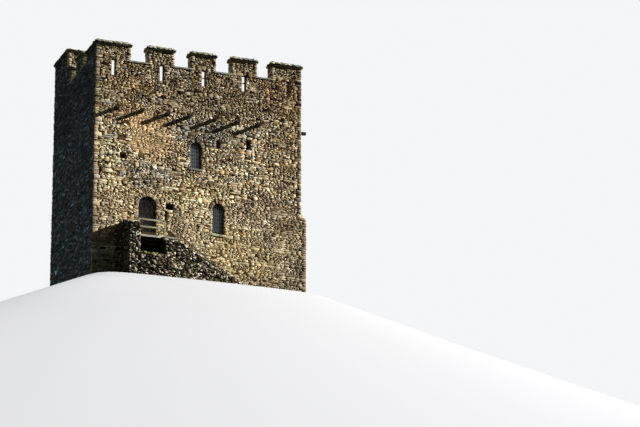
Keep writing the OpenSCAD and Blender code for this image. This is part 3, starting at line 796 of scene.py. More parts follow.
def side_merlon_stones(heap, face, places, ends):
    """Merlons of a side, in which those at a corner end lower than the others."""
    for i, (m0, m1) in enumerate(places):
        trims = (ends[0] if i == 0 else "end", ends[1] if i == len(places) - 1 else "end")
        if trims[0] == "corner":
            m0 -= PARAPET_T
        if trims[1] == "corner":
            m1 += PARAPET_T
        zone = (BAND_Z, MERLON_TOP) if "corner" in trims else (SIDE_BAND_Z, SIDE_TOP)
        lay_wall(heap, face, m0, m1, *zone, (), trims)


def front_wall_stones(material):
    gaps = front_gaps()
    # Right edge, foot and top of the stretches in each piece
    bands = {"low": [(PLINTH_X, 0, PLINTH_Z)],
             "middle": [(SLOPE_MIDDLE_X, PLINTH_Z, PLINTH_TOP), (HALF_W, PLINTH_TOP, UPPER_Z)],
             "high": [(HALF_W, UPPER_Z, BAND_Z)]}
    for number, (band, stretches) in enumerate(bands.items()):
        heap = Heap(21 + number)
        for right, foot, top in stretches:
            lay_wall(heap, FRONT, -HALF_W, right, foot, top, gaps, BOTH_CORNERS)
        if band == "high":
            merlon_stones(heap, FRONT, "front_merlons", gaps)
        heap.join("front_stones_" + band, material)


def back_wall_stones(material):
    gaps = slit_gaps([-x for x in SLIT_X[1:]]) + window_gaps(BACK) + spout_gaps(BACK)
    heap = Heap(41)
    lay_wall(heap, BACK, -PLINTH_X, HALF_W, 0, PLINTH_Z, gaps, BOTH_CORNERS, BACK_SIZE)
    lay_wall(heap, BACK, -HALF_W, HALF_W, PLINTH_Z, UPPER_Z, gaps, BOTH_CORNERS, BACK_SIZE)
    heap.join("back_stones_low", material)
    heap = Heap(42)
    lay_wall(heap, BACK, -HALF_W, HALF_W, UPPER_Z, BAND_Z, gaps, BOTH_CORNERS, BACK_SIZE)
    lay_wall(heap, BACK, -TURRET_X, HALF_W, BAND_Z, TURRET_TOP, gaps, ("end", "corner"), BACK_SIZE)
    merlon_stones(heap, BACK, "back_merlons", gaps, BACK_SIZE)
    heap.join("back_stones_high", material)


def right_wall_stones(material):
    heap = Heap(61)
    lay_wall(heap, PLINTH, 0, KEEP_D, 0, PLINTH_Z, (), BOTH_CORNERS)
    slope = Vector((low("right_plinth").x + 0.001 - PLINTH_X, 0, PLINTH_TOP - PLINTH_Z))
    battered = slope_face(Vector((PLINTH_X, 0, PLINTH_Z)), RIGHT.across, slope.normalized())
    for v0, v1 in split(heap.rng, 0, slope.length, 0.2):
        for a, b in split(heap.rng, 0, KEEP_D, 0.4):
            heap.lay(battered, a, b, v0, v1, stone_tint(heap.rng, "right", (a + b) / 2, PLINTH_Z, 0.85))
    gaps = window_gaps(RIGHT) + spout_gaps(RIGHT)
    lay_wall(heap, RIGHT, 0, KEEP_D, PLINTH_TOP, BAND_Z, gaps, BOTH_CORNERS)
    merlons = spans("right_merlons", RIGHT)
    lay_wall(heap, RIGHT, merlons[0][1], merlons[-1][0], BAND_Z, SIDE_BAND_Z)
    side_merlon_stones(heap, RIGHT, merlons, BOTH_CORNERS)
    heap.join("right_stones", material)


def left_wall_stones(material):
    heap = Heap(71)
    lay_wall(heap, LEFT, -KEEP_D, 0, 0, BAND_Z, (), BOTH_CORNERS)
    merlons = spans("left_merlons", LEFT)
    lay_wall(heap, LEFT, -TURRET_Y, merlons[-1][0], BAND_Z, SIDE_BAND_Z)
    side_merlon_stones(heap, LEFT, merlons, (0.0, "corner"))
    lay_wall(heap, LEFT, -KEEP_D, -TURRET_Y, BAND_Z, SIDE_TOP, (), ("corner", 0.0))
    lay_wall(heap, LEFT, -KEEP_D, -TURRET_Y, SIDE_TOP, TURRET_TOP, (), ("corner", TURRET_CORNER))
    heap.join("left_stones", material)


def turret_stones(material):
    heap = Heap(81)
    inward = RIGHT._replace(origin=Vector((TURRET_X, 0, 0)))
    lay_wall(heap, inward, TURRET_Y, KEEP_D - PARAPET_T, WALK_Z, BAND_Z, (), (TURRET_CORNER, 0.0))
    lay_wall(heap, inward, TURRET_Y, KEEP_D, BAND_Z, TURRET_TOP, (), (TURRET_CORNER, TURRET_CORNER))
    # The doorway, and the stretch that the left battlement covers
    gaps = [Gap(TURRET_DOOR[0], TURRET_DOOR[1], 0, TURRET_DOOR[2]),
            Gap(-HALF_W - 1, -HALF_W + PARAPET_T, 0, SIDE_TOP + 0.2)]
    toward = moved_out(FRONT, -TURRET_Y)
    lay_wall(heap, toward, -HALF_W, TURRET_X, WALK_Z, TURRET_TOP, gaps, ("end", TURRET_CORNER),
             dull=np.array(TURRET_TONE))
    heap.join("turret_stones", material)


def inner_parapet_stones(material):
    """Faces of the battlements towards the wall-walk."""
    heap = Heap(91)
    edge = HALF_W - PARAPET_T
    front_slits = slit_gaps([-x for x in SLIT_X], SLIT_INNER_W, SLIT_INNER_TOP)
    back_slits = slit_gaps(SLIT_X[1:], SLIT_INNER_W, SLIT_INNER_TOP)
    for face, start, finish, node, gaps in (
            (inner(FRONT), -edge, edge, "front_merlons", front_slits),
            (inner(BACK), TURRET_X, edge, "back_merlons", back_slits),
            (inner(RIGHT), PARAPET_T - KEEP_D, -PARAPET_T, "right_merlons", ()),
            (inner(LEFT), PARAPET_T, TURRET_Y, "left_merlons", ())):
        lay_wall(heap, face, start, finish, WALK_Z, BAND_Z, gaps)
        side = face.across.y != 0
        for m0, m1 in spans(node, face):
            at_corner = (near(abs(m0), PARAPET_T) or near(abs(m1), PARAPET_T)
                         or near(abs(m0), KEEP_D - PARAPET_T))
            a, b = max(m0, start), min(m1, finish)
            if side and not at_corner:
                lay_wall(heap, face, a, b, SIDE_BAND_Z, SIDE_TOP, gaps, ("end", "end"))
            else:
                trims = ("end" if m0 >= start else 0.0, "end" if m1 <= finish else 0.0)
                lay_wall(heap, face, a, b, BAND_Z, MERLON_TOP, gaps, trims)
        if side:
            band_end = finish if node == "left_merlons" else finish - CORNER_MERLON
            lay_wall(heap, face, start + CORNER_MERLON, band_end, BAND_Z, SIDE_BAND_Z)
    heap.join("inner_parapet_stones", material)


def block_at(heap, lo, hi, tint, kind="block"):
    """A worn block that fills a box."""
    lo, hi = Vector(lo), Vector(hi)
    size = hi - lo
    centre = (lo + hi) / 2
    centre.z = lo.z
    axes = (Vector((size.x / 2, 0, 0)), Vector((0, size.y / 2, 0)), Vector((0, 0, size.z)))
    heap.put(kind, centre, axes, tint)


def block_along(heap, axis, ends, sides, levels, tint, kind="block"):
    """A worn block that lies along X (0) or Y (1)."""
    lo, hi = [(side, end, z) if axis else (end, side, z) for end, side, z in zip(ends, sides, levels)]
    block_at(heap, lo, hi, tint, kind)


def corner_stones(material):
    """Blocks that turn the corners of the keep and the turret, and those that end the merlons."""
    heap = Heap(101)
    rng = heap.rng
    gap = masonry().joint / 2
    for x, y, foot, top in (
            (-HALF_W, 0.0, 0.0, MERLON_TOP), (PLINTH_X, 0.0, 0.0, PLINTH_Z),
            (HALF_W, 0.0, PLINTH_TOP, MERLON_TOP), (PLINTH_X, KEEP_D, 0.0, PLINTH_Z),
            (HALF_W, KEEP_D, PLINTH_TOP, MERLON_TOP), (-HALF_W, KEEP_D, 0.0, TURRET_TOP),
            (TURRET_X, TURRET_Y, WALK_Z, TURRET_TOP), (-HALF_W, TURRET_Y, SIDE_TOP, TURRET_TOP),
            (TURRET_X, KEEP_D, BAND_Z, TURRET_TOP)):
        into_x = 1 if x == -HALF_W else -1
        into_y = -1 if y == KEEP_D else 1
        for v0, v1 in courses(foot, top):
            along_x, right, left = by_course(CORNER_REACH, v0)
            reach = (TURRET_REACH, TURRET_REACH) if foot >= WALK_Z else (along_x, left if x < 0 else right)
            for l0, l1 in split(rng, v0, v1, rng.choice(CORNER_HEIGHTS), 0.3):
                proud = rng.uniform(0.004, 0.04, 2)
                reach_x = reach[0] + rng.uniform(-0.06, 0.01)
                reach_y = reach[1] + rng.uniform(-0.2, 0.05) * reach[1]
                xs = sorted((x - into_x * proud[0], x + into_x * reach_x))
                ys = sorted((y - into_y * proud[1], y + into_y * reach_y))
                # The right corners' stones are darkened with the right side, as painted shade against its
                # full sun
                tint = stone_tint(rng, "front" if into_y > 0 else "back", x, l0, 0.7 if x > 0 else 1.0)
                block_at(heap, (xs[0], ys[0], l0 + gap), (xs[1], ys[1], l1 - gap), tint)
    # Stones at both ends of the plinth's slope
    for x, rise in ((HALF_W + 0.02, 0.42), (HALF_W + 0.16, 0.2)):
        for y in (-0.03, KEEP_D - 0.27):
            tint = stone_tint(rng, "front", x, PLINTH_Z)
            block_at(heap, (x - 0.3, y, PLINTH_Z + gap), (x + 0.13, y + 0.3, PLINTH_Z + rise), tint)
    for node, axis in (("front_merlons", 0), ("back_merlons", 0), ("left_merlons", 1), ("right_merlons", 1)):
        for lo, hi in solids(node):
            merlon_end(heap, lo, hi, axis, lo[axis], 1)
            merlon_end(heap, lo, hi, axis, hi[axis], -1)
    heap.join("corner_stones", material)


def merlon_end(heap, lo, hi, axis, edge, into):
    """Through stones that close one end of a merlon, left out where the merlon runs into a corner."""
    rng = heap.rng
    gap = masonry().joint / 2
    corners = (PARAPET_T, KEEP_D - PARAPET_T, TURRET_Y) if axis else (-HALF_W, HALF_W)
    if any(near(edge, corner) for corner in corners):
        return
    for v0, v1 in courses(lo.z, hi.z):
        for l0, l1 in split(rng, v0, v1, 0.11, 0.2):
            depth = split(rng, lo[1 - axis], hi[1 - axis], rng.choice([0.3, 0.6]), 0.3)
            for i, (d0, d1) in enumerate(depth):
                proud = rng.uniform(0.015, 0.045, 3)
                reach = by_course(END_REACH, v0) + rng.uniform(-0.03, 0.01)
                ends = sorted((edge - into * proud[0], edge + into * reach))
                sides = (d0 - proud[1] if i == 0 else d0 + gap,
                         d1 + proud[2] if i == len(depth) - 1 else d1 - gap)
                tint = stone_tint(rng, "right" if axis else "front", edge, l0)
                if axis and lo.x < 0:
                    tint = tint * np.array((1.0, 1.3, 1.15))
                block_along(heap, axis, ends, sides, (l0 + gap, l1 - gap), tint)


def arch_stones(material):
    """Thin stones set on end round the arches of the doorway and the windows, and the lower window's sill."""
    heap = Heap(111)
    rng = heap.rng
    width, joint, bed = 0.085, 0.004, 0.05
    arches = [(FRONT, gap) for gap in front_gaps() if gap.arched]
    arches += [(face, gap) for face in (BACK, RIGHT) for gap in window_gaps(face)]
    for face, gap in arches:
        if face is FRONT and LANDING_Z < gap.foot < LOWER_WINDOW_Z:
            for a, b in split(rng, gap.left - 0.03, gap.right + 0.1, 0.4, 0.2):
                heap.lay(face, a, b, gap.foot + 0.01, gap.foot + SILL_STONE, np.array((0.40, 0.44, 0.24)),
                         kind="block", proud=0.055, tilt=0.02)
        count = int(math.pi * (gap.radius + gap.ring / 2) / width)
        for i in range(count):
            turn = math.pi * (i + 0.5) / count
            outward = face.across * math.cos(turn) + face.up * math.sin(turn)
            sideways = face.up * math.cos(turn) - face.across * math.sin(turn)
            length = gap.ring * rng.uniform(0.62, 1.04)
            half = math.pi * (gap.radius + length * 0.4) / count / 2 - joint
            centre = (face.origin + face.across * gap.middle + face.up * gap.spring
                      + outward * (gap.radius + length / 2 + joint) - face.out * bed)
            tint = stone_tint(rng, face.name, gap.middle, gap.spring + gap.radius, rng.uniform(0.6, 1.0))
            proud = rng.uniform(0.012, 0.05)
            heap.put("block", centre, (outward * length / 2, sideways * half, face.out * (proud + bed)), tint)
    heap.join("arch_stones", material)


# Roofs and caps

# Height of a cap's upright edge, and how far the ends of the merlons' caps and of the turret's roof lean in
CAP_EDGE = 0.10
CAP_HIP = 0.24
TURRET_HIP = 0.6
# How far the lowest slabs of a cap hang over, and how far slabs reach over the next rows
EAVES = 0.06
LAP_BELOW = 0.05
LAP_ABOVE = 0.02
# Rows of roof slates, length and shift of the slates, and how far they hang over at the slope's ends
SLATE_ROWS = 15
SLATE_W = 0.3
SLATE_SHIFT = 0.15
SLATE_OVER = 0.02


def slab_tint(rng, dull=1.0):
    """Grey-green tone of a slab, or the yellow of one with lichen."""
    c = colours()
    grey = np.array(c.grey) * np.array((0.42, 0.48, 0.46))
    pale = np.array(c.cream) * np.array((0.42, 0.47, 0.52))
    lichen = np.array(c.lichen) * 0.6
    share = rng.uniform()
    tint = grey if share < 0.45 else pale if share < 0.86 else lichen
    return np.clip(tint * rng.uniform(0.7, 1.25) * dull, 0.01, 0.8)


def slab_rows(heap, face, length, height, hip, rows, stone, thick, spread):
    """Overlapping rows of slabs on a slope whose ends lean in by a hip. The lowest row spreads sideways."""
    rng = heap.rng
    step = height / rows
    for row in range(rows):
        lowest = row == 0
        v0 = row * step - (EAVES if lowest else LAP_BELOW)
        v1 = (row + 1) * step + LAP_ABOVE
        shorter = hip * ((row + 0.35) / rows) - (spread if lowest else 0.0)
        a, b = shorter, length - shorter
        if b - a < 0.12:
            a, b = (a + b) / 2 - 0.09, (a + b) / 2 + 0.09
        for e0, e1 in split(rng, a, b, stone, 0.3):
            tint = slab_tint(rng)
            rough = rng.uniform(-0.02, 0.02, 2)
            heap.lay(face, e0, e1, v0 + rough[0] * lowest, v1 + rough[1], tint, kind="plate",
                     proud=thick * rng.uniform(0.7, 1.3), sunk=0.006, tilt=0.02, turn=0.012)


def cap_edging(heap, corner, across, length, stone):
    """Thin stones under the slabs of a cap, darkened as painted shade under the slabs' overhang."""
    rng = heap.rng
    edging = slope_face(corner, across, UP)
    for e0, e1 in split(rng, 0, length, stone * 0.9, 0.3):
        heap.lay(edging, e0, e1, 0.0, CAP_EDGE - 0.005, slab_tint(rng, 0.34), kind="block",
                 proud=rng.uniform(0.004, 0.018), tilt=0.03)


def cover_cap(heap, lo, hi, axis, hip, rows, stone):
    """Slabs over the four slopes of a hipped cap, and a ragged row on its ridge, which runs along an axis."""
    rng = heap.rng
    length, depth = hi[axis] - lo[axis], hi[1 - axis] - lo[1 - axis]
    rise = hi.z - lo.z - CAP_EDGE
    end = RIGHT.across if axis else FRONT.across
    side = -FRONT.across if axis else RIGHT.across
    sides = (length, depth / 2, hip, rows, 0.035, 0.05)
    ends = (depth, hip, depth / 2, 2, 0.03, -0.03)
    for inward, sizes in ((side, sides), (-side, sides), (end, ends), (-end, ends)):
        width, run, lean, count, thick, spread = sizes
        across = inward.cross(UP)
        way = across + inward
        corner = Vector((lo.x if way.x > 0 else hi.x, lo.y if way.y > 0 else hi.y, lo.z))
        slope = slope_face(corner + UP * CAP_EDGE, across, (inward * run + UP * rise).normalized())
        slab_rows(heap, slope, width, math.hypot(rise, run), lean, count, stone, thick, spread)
        cap_edging(heap, corner, across, width, stone)
    middle = (lo[1 - axis] + hi[1 - axis]) / 2
    for ridge in split(rng, lo[axis] + hip * 0.75, hi[axis] - hip * 0.75, 0.24, 0.35):
        wide = rng.uniform(0.08, 0.13)
        levels = (hi.z - 0.08, hi.z + rng.uniform(-0.01, 0.05))
        block_along(heap, axis, ridge, (middle - wide, middle + wide), levels, slab_tint(rng), "rubble")


def cap_slabs(material):
    heap = Heap(121)
    for node, axis in (("front_caps", 0), ("back_caps", 0), ("side_caps", 1)):
        for lo, hi in solids(node):
            cover_cap(heap, lo, hi, axis, CAP_HIP, 2, 0.34)
    cover_cap(heap, *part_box("turret_roof"), 1, TURRET_HIP, 4, 0.5)
    heap.join("cap_slabs", material)


def roof_slates(material):
    """Slates on the two slopes behind the parapet."""
    heap = Heap(131)
    rng = heap.rng
    slate = np.array(colours().slate)
    for node, side in (("roof_front_slope", FRONT), ("roof_back_slope", BACK)):
        lo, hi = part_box(node)
        eave = lo.z + 0.12
        run, rise, width = hi.y - lo.y, hi.z - eave, hi.x - lo.x
        corner = Vector((lo.x, lo.y, eave)) if side is FRONT else Vector((hi.x, hi.y, eave))
        face = slope_face(corner, side.across, (UP * rise - side.out * run).normalized())
        lean = face._replace(out=(face.out - face.up * 0.02).normalized())
        length = math.hypot(run, rise)
        for row in range(SLATE_ROWS):
            v0 = length * row / SLATE_ROWS - 0.05
            v1 = length * (row + 1) / SLATE_ROWS + 0.04
            shift = SLATE_SHIFT * (row % 2)
            for a, b in split(rng, -shift, width + shift, SLATE_W, 0.2):
                tint = np.clip(slate * rng.uniform(0.65, 1.5), 0, 1)
                heap.lay(lean, max(a, -SLATE_OVER), min(b, width + SLATE_OVER), v0, v1, tint, kind="plate",
                         proud=rng.uniform(0.018, 0.034), sunk=0.002, tilt=0.012, turn=0.006)
    heap.join("roof_slates", material)


def walk_flags(material):
    """Paving of the wall-walk."""
    heap = Heap(141)
    rng = heap.rng
    floor = slope_face(Vector((0, 0, WALK_Z)), FRONT.across, RIGHT.across)
    edge = HALF_W - PARAPET_T
    eave = low("roof_front_slope").y
    gable = high("roof_gables").x
    strips = [(-edge, edge, PARAPET_T, eave), (TURRET_X, edge, KEEP_D - eave, KEEP_D - PARAPET_T),
              (-edge, -gable, eave, TURRET_Y), (gable, edge, eave, KEEP_D - eave)]
    for x0, x1, y0, y1 in strips:
        for a, b in split(rng, y0, y1, 0.46, 0.1):
            for c, d in split(rng, x0, x1, 0.6, 0.25):
                heap.lay(floor, c, d, a, b, slab_tint(rng, 0.9), kind="plate", proud=rng.uniform(0.02, 0.032),
                         sunk=0.004, tilt=0.006, turn=0.004)
    heap.join("walk_flags", material)


# Forebuilding

# Dark stones, a few pale ones, and their odds
FORE_KINDS = ((0.034, 0.028, 0.024), (0.10, 0.075, 0.055), (0.24, 0.195, 0.14), (0.50, 0.45, 0.34))
FORE_ODDS = [0.38, 0.24, 0.20, 0.18]
# Mean height and length of the stones of its faces, and length and depth of the loose stones on its tops
RUBBLE_COURSE = 0.135
RUBBLE_STONE = 0.18
TOP_STONE = (0.24, 0.2)
# How far the stair's rubble leans back over its height, its height at its end, and where it meets the stair
RUBBLE_LEAN = 1.05
RUBBLE_LEAST = 0.1
RUBBLE_BACK = -1.16
# How far down from a step its stone and the row under that reach, and the joint over the stone
STEP_STONE = 0.15
UNDER_STEP = 0.36
STEP_JOINT = 0.012


def fore_tint(rng, dull=1.0):
    tint = np.array(FORE_KINDS[rng.choice(4, p=FORE_ODDS)])
    return np.clip(tint * rng.uniform(0.7, 1.3) * dull, 0.006, 0.8)


def stair_tint(rng):
    return np.array((0.33, 0.30, 0.235)) * rng.uniform(0.6, 1.25)


def broken_face(heap, face, left, right, top_at, proud=(0.02, 0.11), dull=1.0):
    """Rough rubble from the ground up, on a face whose top changes along it."""
    rng = heap.rng
    highest = max(top_at(left + (right - left) * i / 12) for i in range(13))
    for v0, v1 in split(rng, 0, highest, RUBBLE_COURSE, 0.2):
        for a, b in split(rng, left, right, RUBBLE_STONE, 0.35):
            for l0, l1 in split(rng, v0, v1, (v1 - v0) / rng.choice([1, 1, 2]), 0.2):
                if top_at((a + b) / 2) < (l0 + l1) / 2 - 0.02:
                    continue
                drop = max(rng.uniform(-0.05, 0.05), -l0)
                heap.lay(face, a, b, l0 + drop, l1 + drop, fore_tint(rng, dull), kind="rubble",
                         proud=rng.uniform(*proud), sunk=0.03, tilt=0.3, turn=0.3)


def broken_top(heap, x0, x1, y0, y1, z, dull=1.0, mossy=0.0):
    """Loose stones on the top of a broken wall, with a share of mossy ones."""
    rng = heap.rng
    moss = np.array(colours().moss)
    for a, b in split(rng, y0, y1, TOP_STONE[1], 0.3):
        for c, d in split(rng, x0, x1, TOP_STONE[0], 0.3):
            tint = moss * rng.uniform(0.5, 1.6) if rng.uniform() < mossy else fore_tint(rng, dull)
            block_at(heap, (c, a, z - 0.05), (d, b, z + rng.uniform(0.03, 0.14)), tint, "rubble")


def stub_height(out):
    return float(np.interp(out, [p[0] for p in STUB_TOP], [p[1] for p in STUB_TOP]))


def fore_stones(material):
    heap = Heap(151)
    rng = heap.rng
    x0, x1 = STUB_X
    left = LEFT._replace(origin=Vector((x0, 0, 0)))
    right = RIGHT._replace(origin=Vector((x1, 0, 0)))
    front = moved_out(FRONT, FORE_OUT)
    broken_face(heap, left, 0.02, FORE_OUT, stub_height, (0.01, 0.07))
    # Painted shade: the broken wall's side within the pit is darkened
    broken_face(heap, right, -FORE_OUT, -0.02, lambda along: stub_height(-along), (0.01, 0.05), 0.5)
    broken_face(heap, front, x0, x1, lambda along: STUB_TOP[-1][1], dull=1.6)
    for (d0, z0), (d1, z1) in zip(STUB_TOP[:-1], STUB_TOP[1:]):
        if d1 - d0 > 0.1:
            broken_top(heap, x0, x1, -d1, -d0, (z0 + z1) / 2, 1.5)
    broken_face(heap, front, x1, STAIR_X, lambda along: PIT_TOP, (0.02, 0.12))
    broken_top(heap, x1, STAIR_X, -FORE_OUT, high("pit_wall").y, PIT_TOP, mossy=0.5)
    rubble_end, rubble_z = high("stair_rubble").x, high("stair_rubble").z
    back = Vector((0, RUBBLE_LEAN, rubble_z))
    slope = slope_face(front.origin, front.across, back.normalized())

    def rubble_top(x):
        return float(np.interp(x, [STAIR_TOP_X, rubble_end], [rubble_z, RUBBLE_LEAST]))

    broken_face(heap, slope, STAIR_X, rubble_end, lambda along: rubble_top(along) * (back.length / rubble_z),
                (0.03, 0.15), 1.15)
    for a, b in split(rng, STAIR_X, rubble_end, 0.2, 0.3):
        height = rubble_top((a + b) / 2)
        start = RUBBLE_LEAN * height / rubble_z - FORE_OUT - 0.05
        for c, d in split(rng, start, RUBBLE_BACK, 0.24, 0.2):
            top = height + rng.uniform(0.03, 0.11)
            block_at(heap, (a - 0.03, c - 0.02, height - 0.10), (b + 0.03, d + 0.02, top), fore_tint(rng),
                     "rubble")
    heap.join("fore_stones", material)


def stair_stones(material):
    """Worn stones on the outer side of the stair: under the landing, and one or two under each step."""
    heap = Heap(161)
    rng = heap.rng
    core_y, core_top = low("stair_core").y, high("stair_core").z
    outer = moved_out(FRONT, -core_y)
    end = LEFT._replace(origin=Vector((STAIR_X, 0, 0)))
    for a, b in split(rng, STAIR_X, STAIR_TOP_X, 0.3, 0.25):
        heap.lay(outer, a, b, core_top - 0.02, LANDING_Z - STEP_JOINT, stair_tint(rng), kind="block",
                 proud=0.03, tilt=0.03)
        for l0, l1 in split(rng, core_top - 0.24, core_top - 0.02, 0.1, 0.2):
            heap.lay(outer, a, b, l0, l1, fore_tint(rng), proud=rng.uniform(0.01, 0.05))
    for a, b in split(rng, 0.0, -core_y, 0.24, 0.3):
        for l0, l1 in split(rng, PIT_TOP - 1.4, DECK_Z - 0.03, 0.14, 0.2):
            # Painted shade: the stair's end, the side of the pit, is darkened almost to black
            heap.lay(end, a, b, l0, l1, fore_tint(rng, 0.22), proud=rng.uniform(0.004, 0.03))
    going = (high("stair_steps").x - STAIR_TOP_X) / (RISERS - 1)
    for i in range(1, RISERS):
        x = STAIR_TOP_X + (i - 1) * going
        top = LANDING_Z * (1 - i / RISERS)
        heap.lay(outer, x + 0.01, x + going, top - STEP_STONE, top - STEP_JOINT, stair_tint(rng),
                 kind="block", proud=0.025, tilt=0.02)
        for a, b in split(rng, x, x + going, RUBBLE_STONE, 0.2):
            heap.lay(outer, a, b, max(0, top - UNDER_STEP), top - 0.16, fore_tint(rng, 1.3),
                     proud=rng.uniform(0.01, 0.05))
    heap.join("stair_stones", material)


# Shaped pieces

# How far a piece stands off the one behind it where both would otherwise share a face
OFF = 0.001
# Thickness and mean width of the bridge's boards, half the joint between them, and the bearers' width
BOARD_T = 0.055
BOARD_W = 0.165
BOARD_JOINT = 0.004
BEARER_W = 0.12
# Planks of the door, and heights above the floor of its rows of studs, where its straps lie
PLANKS = 6
STUD_ROWS = (0.35, 0.49, 1.47, 1.61)
# Heights of the bridge's rails above the landing, and how far the bolts of a pair sit above and below them
RAIL_ROWS = (0.98, 0.51)
BOLT_APART = 0.025
# Front, back, foot and top of the iron bars across two of the front's slits
SLIT_BAR = (0.09, 0.16, 14.15, 14.21)
# How far the centres of the doorway's arch lie beyond its middle, which makes it slightly pointed
DOOR_ARCH_SHIFT = 0.035


def piece_from(mesh, name, material, body="keep", replaces=()):
    """Turns a bmesh into a piece that rides on a body."""
    bmesh.ops.recalc_face_normals(mesh, faces=mesh.faces[:])
    data = bpy.data.meshes.new(name)
    mesh.to_mesh(data)
    mesh.free()
    settle(name, data, material, body, replaces)


def edges_of(verts):
    """The edges at some vertices, each once and in the same order on every run."""
    return list(dict.fromkeys(e for v in verts for e in v.link_edges))


def in_order(mesh):
    """Sorts corners and faces by place, because a spin gives them another order on each run."""
    for found, place in ((mesh.verts, lambda v: v.co), (mesh.faces, lambda f: f.calc_center_median())):
        for i, item in enumerate(sorted(found, key=lambda item: tuple(round(c, 5) for c in place(item)))):
            item.index = i
        found.sort()


def add_box(mesh, lo, hi, worn=0.0):
    """Adds a box, with its edges taken off where a width is given."""
    lo, hi = Vector(lo), Vector(hi)
    size = hi - lo
    matrix = Matrix.Translation((lo + hi) / 2) @ Matrix.Diagonal((size.x, size.y, size.z, 1))
    made = bmesh.ops.create_cube(mesh, size=1, matrix=matrix)
    if worn:
        bmesh.ops.bevel(mesh, geom=edges_of(made["verts"]), offset=worn, affect="EDGES", segments=1,
                        profile=0.5, material=-1)


def add_head(mesh, place, segments, base, tip, depth):
    """Adds the head of a stud or bolt that looks to the front."""
    matrix = Matrix.Translation(place) @ Matrix.Rotation(math.pi / 2, 4, "X")
    bmesh.ops.create_cone(mesh, cap_ends=True, segments=segments, radius1=base, radius2=tip, depth=depth,
                          matrix=matrix)


def clip(mesh, point, outward):
    """Cuts away what lies beyond a plane and closes the cut."""
    everything = mesh.verts[:] + mesh.edges[:] + mesh.faces[:]
    cut = bmesh.ops.bisect_plane(mesh, geom=everything, plane_co=point, plane_no=outward, clear_outer=True)
    edges = [e for e in cut["geom_cut"] if isinstance(e, bmesh.types.BMEdge)]
    if edges:
        bmesh.ops.holes_fill(mesh, edges=edges, sides=0)


def clip_to_arch(mesh, middle, half, spring, radius, shift=0.0, cuts=9):
    """Trims boxes that stand in the front plane to an arched outline, by planes along its edge."""
    clip(mesh, (middle - half, 0, 0), (-1, 0, 0))
    clip(mesh, (middle + half, 0, 0), (1, 0, 0))
    for side in (-1, 1):
        centre = Vector((middle - side * shift, 0, spring))
        for i in range(cuts):
            turn = math.pi / 2 * (i + 0.5) / cuts
            outward = Vector((side * math.cos(turn), 0, math.sin(turn)))
            clip(mesh, centre + outward * radius, outward)


def window_lights(lead_material, bar_material):
    """Lattices on the panes, broad in the upper windows and thin in the lower, and bars across two slits."""
    lattice = bmesh.new()
    deep, behind, rim = 0.018, 0.004, 0.03
    for lo, hi in solids("window_glass"):
        bar, pitch = (0.022, 0.15) if lo.z < LOWER_WINDOW_Z else (0.058, 0.14)
        on_side = hi.y - lo.y > 0.3
        half = (hi.y - lo.y if on_side else hi.x - lo.x) / 2
        spring = hi.z - half
        part = bmesh.new()
        for i in range(-3, 4):
            add_box(part, (i * pitch - bar / 2, 0, lo.z), (i * pitch + bar / 2, deep, hi.z))
        for i in range(8):
            z = lo.z + rim + (i + 0.75) * 0.24
            add_box(part, (-half, 0.002, z - bar / 2), (half, deep + 0.002, z + bar / 2))
        clip(part, (0, 0, lo.z + 0.002), (0, 0, -1))
        clip_to_arch(part, 0, half - 0.002, spring, half - 0.002)
        for x0, x1, top in ((-half, rim - half, spring), (half - rim, half, spring),
                            (-half, half, lo.z + rim)):
            add_box(part, (x0, -behind, lo.z), (x1, deep + 0.006, top))
        middle = (lo + hi) / 2
        if on_side:
            place, turn = (hi.x + deep + OFF, middle.y, 0), math.pi / 2
        elif lo.y > KEEP_D / 2:
            place, turn = (middle.x, hi.y + deep + OFF, 0), math.pi
        else:
            place, turn = (middle.x, lo.y - deep - OFF, 0), 0.0
        matrix = Matrix.Translation(place) @ Matrix.Rotation(turn, 4, "Z")
        bmesh.ops.transform(part, matrix=matrix, verts=part.verts[:])
        copy = bpy.data.meshes.new("part")
        part.to_mesh(copy)
        part.free()
        lattice.from_mesh(copy)
        bpy.data.meshes.remove(copy)
    piece_from(lattice, "window_lattices", lead_material)
    bars = bmesh.new()
    reach = SLIT_W / 2 + 0.01
    front, back, foot, top = SLIT_BAR
    for x in SLIT_X[2:4]:
        add_box(bars, (x - reach, front, foot), (x + reach, back, top), 0.008)
    piece_from(bars, "slit_bars", bar_material)


def entrance_door(wood, metal):
    """Planked leaf, its rows of studs, and its ring."""
    lo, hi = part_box("door_leaf")
    middle = (lo.x + hi.x) / 2
    half = (hi.x - lo.x) / 2
    step = (hi.x - lo.x) / PLANKS
    over_top = hi.z + 0.05
    rng = np.random.default_rng(7)
    leaf = bmesh.new()
    for i in range(PLANKS):
        x = lo.x + i * step
        front = lo.y + rng.uniform(0.0, 0.004)
        add_box(leaf, (x + 0.003, front, lo.z), (x + step - 0.003, hi.y - 0.012, over_top), 0.006)
    add_box(leaf, (lo.x, lo.y + 0.02, lo.z), (hi.x, hi.y, over_top))
    clip_to_arch(leaf, middle, half, SPRING_Z, half + DOOR_ARCH_SHIFT, DOOR_ARCH_SHIFT, 12)
    piece_from(leaf, "door_planks", wood, "door", ["door_leaf"])
    studs = bmesh.new()
    for z in STUD_ROWS:
        for i in range(PLANKS):
            for across in (0.3, 0.7):
                x = lo.x + (i + across) * step
                if abs(x - middle) < half - 0.07:
                    add_head(studs, (x, lo.y, FLOOR_Z + z), 8, 0.014, 0.006, 0.016)
    ring = Vector((hi.x - 0.24, lo.y - 0.02, FLOOR_Z + 1.05))
    made = bmesh.ops.create_circle(studs, segments=8, radius=0.008,
                                   matrix=Matrix.Translation(ring + Vector((0.055, 0, 0))))
    bmesh.ops.spin(studs, geom=made["verts"] + edges_of(made["verts"]), cent=ring, axis=(0, 1, 0),
                   angle=math.tau, steps=20, use_merge=True)
    add_box(studs, ring + Vector((-0.02, 0.006, 0.03)), ring + Vector((0.02, 0.022, 0.08)), 0.004)
    bmesh.ops.remove_doubles(studs, verts=studs.verts[:], dist=WELD)
    in_order(studs)
    piece_from(studs, "door_studs", metal, "door")


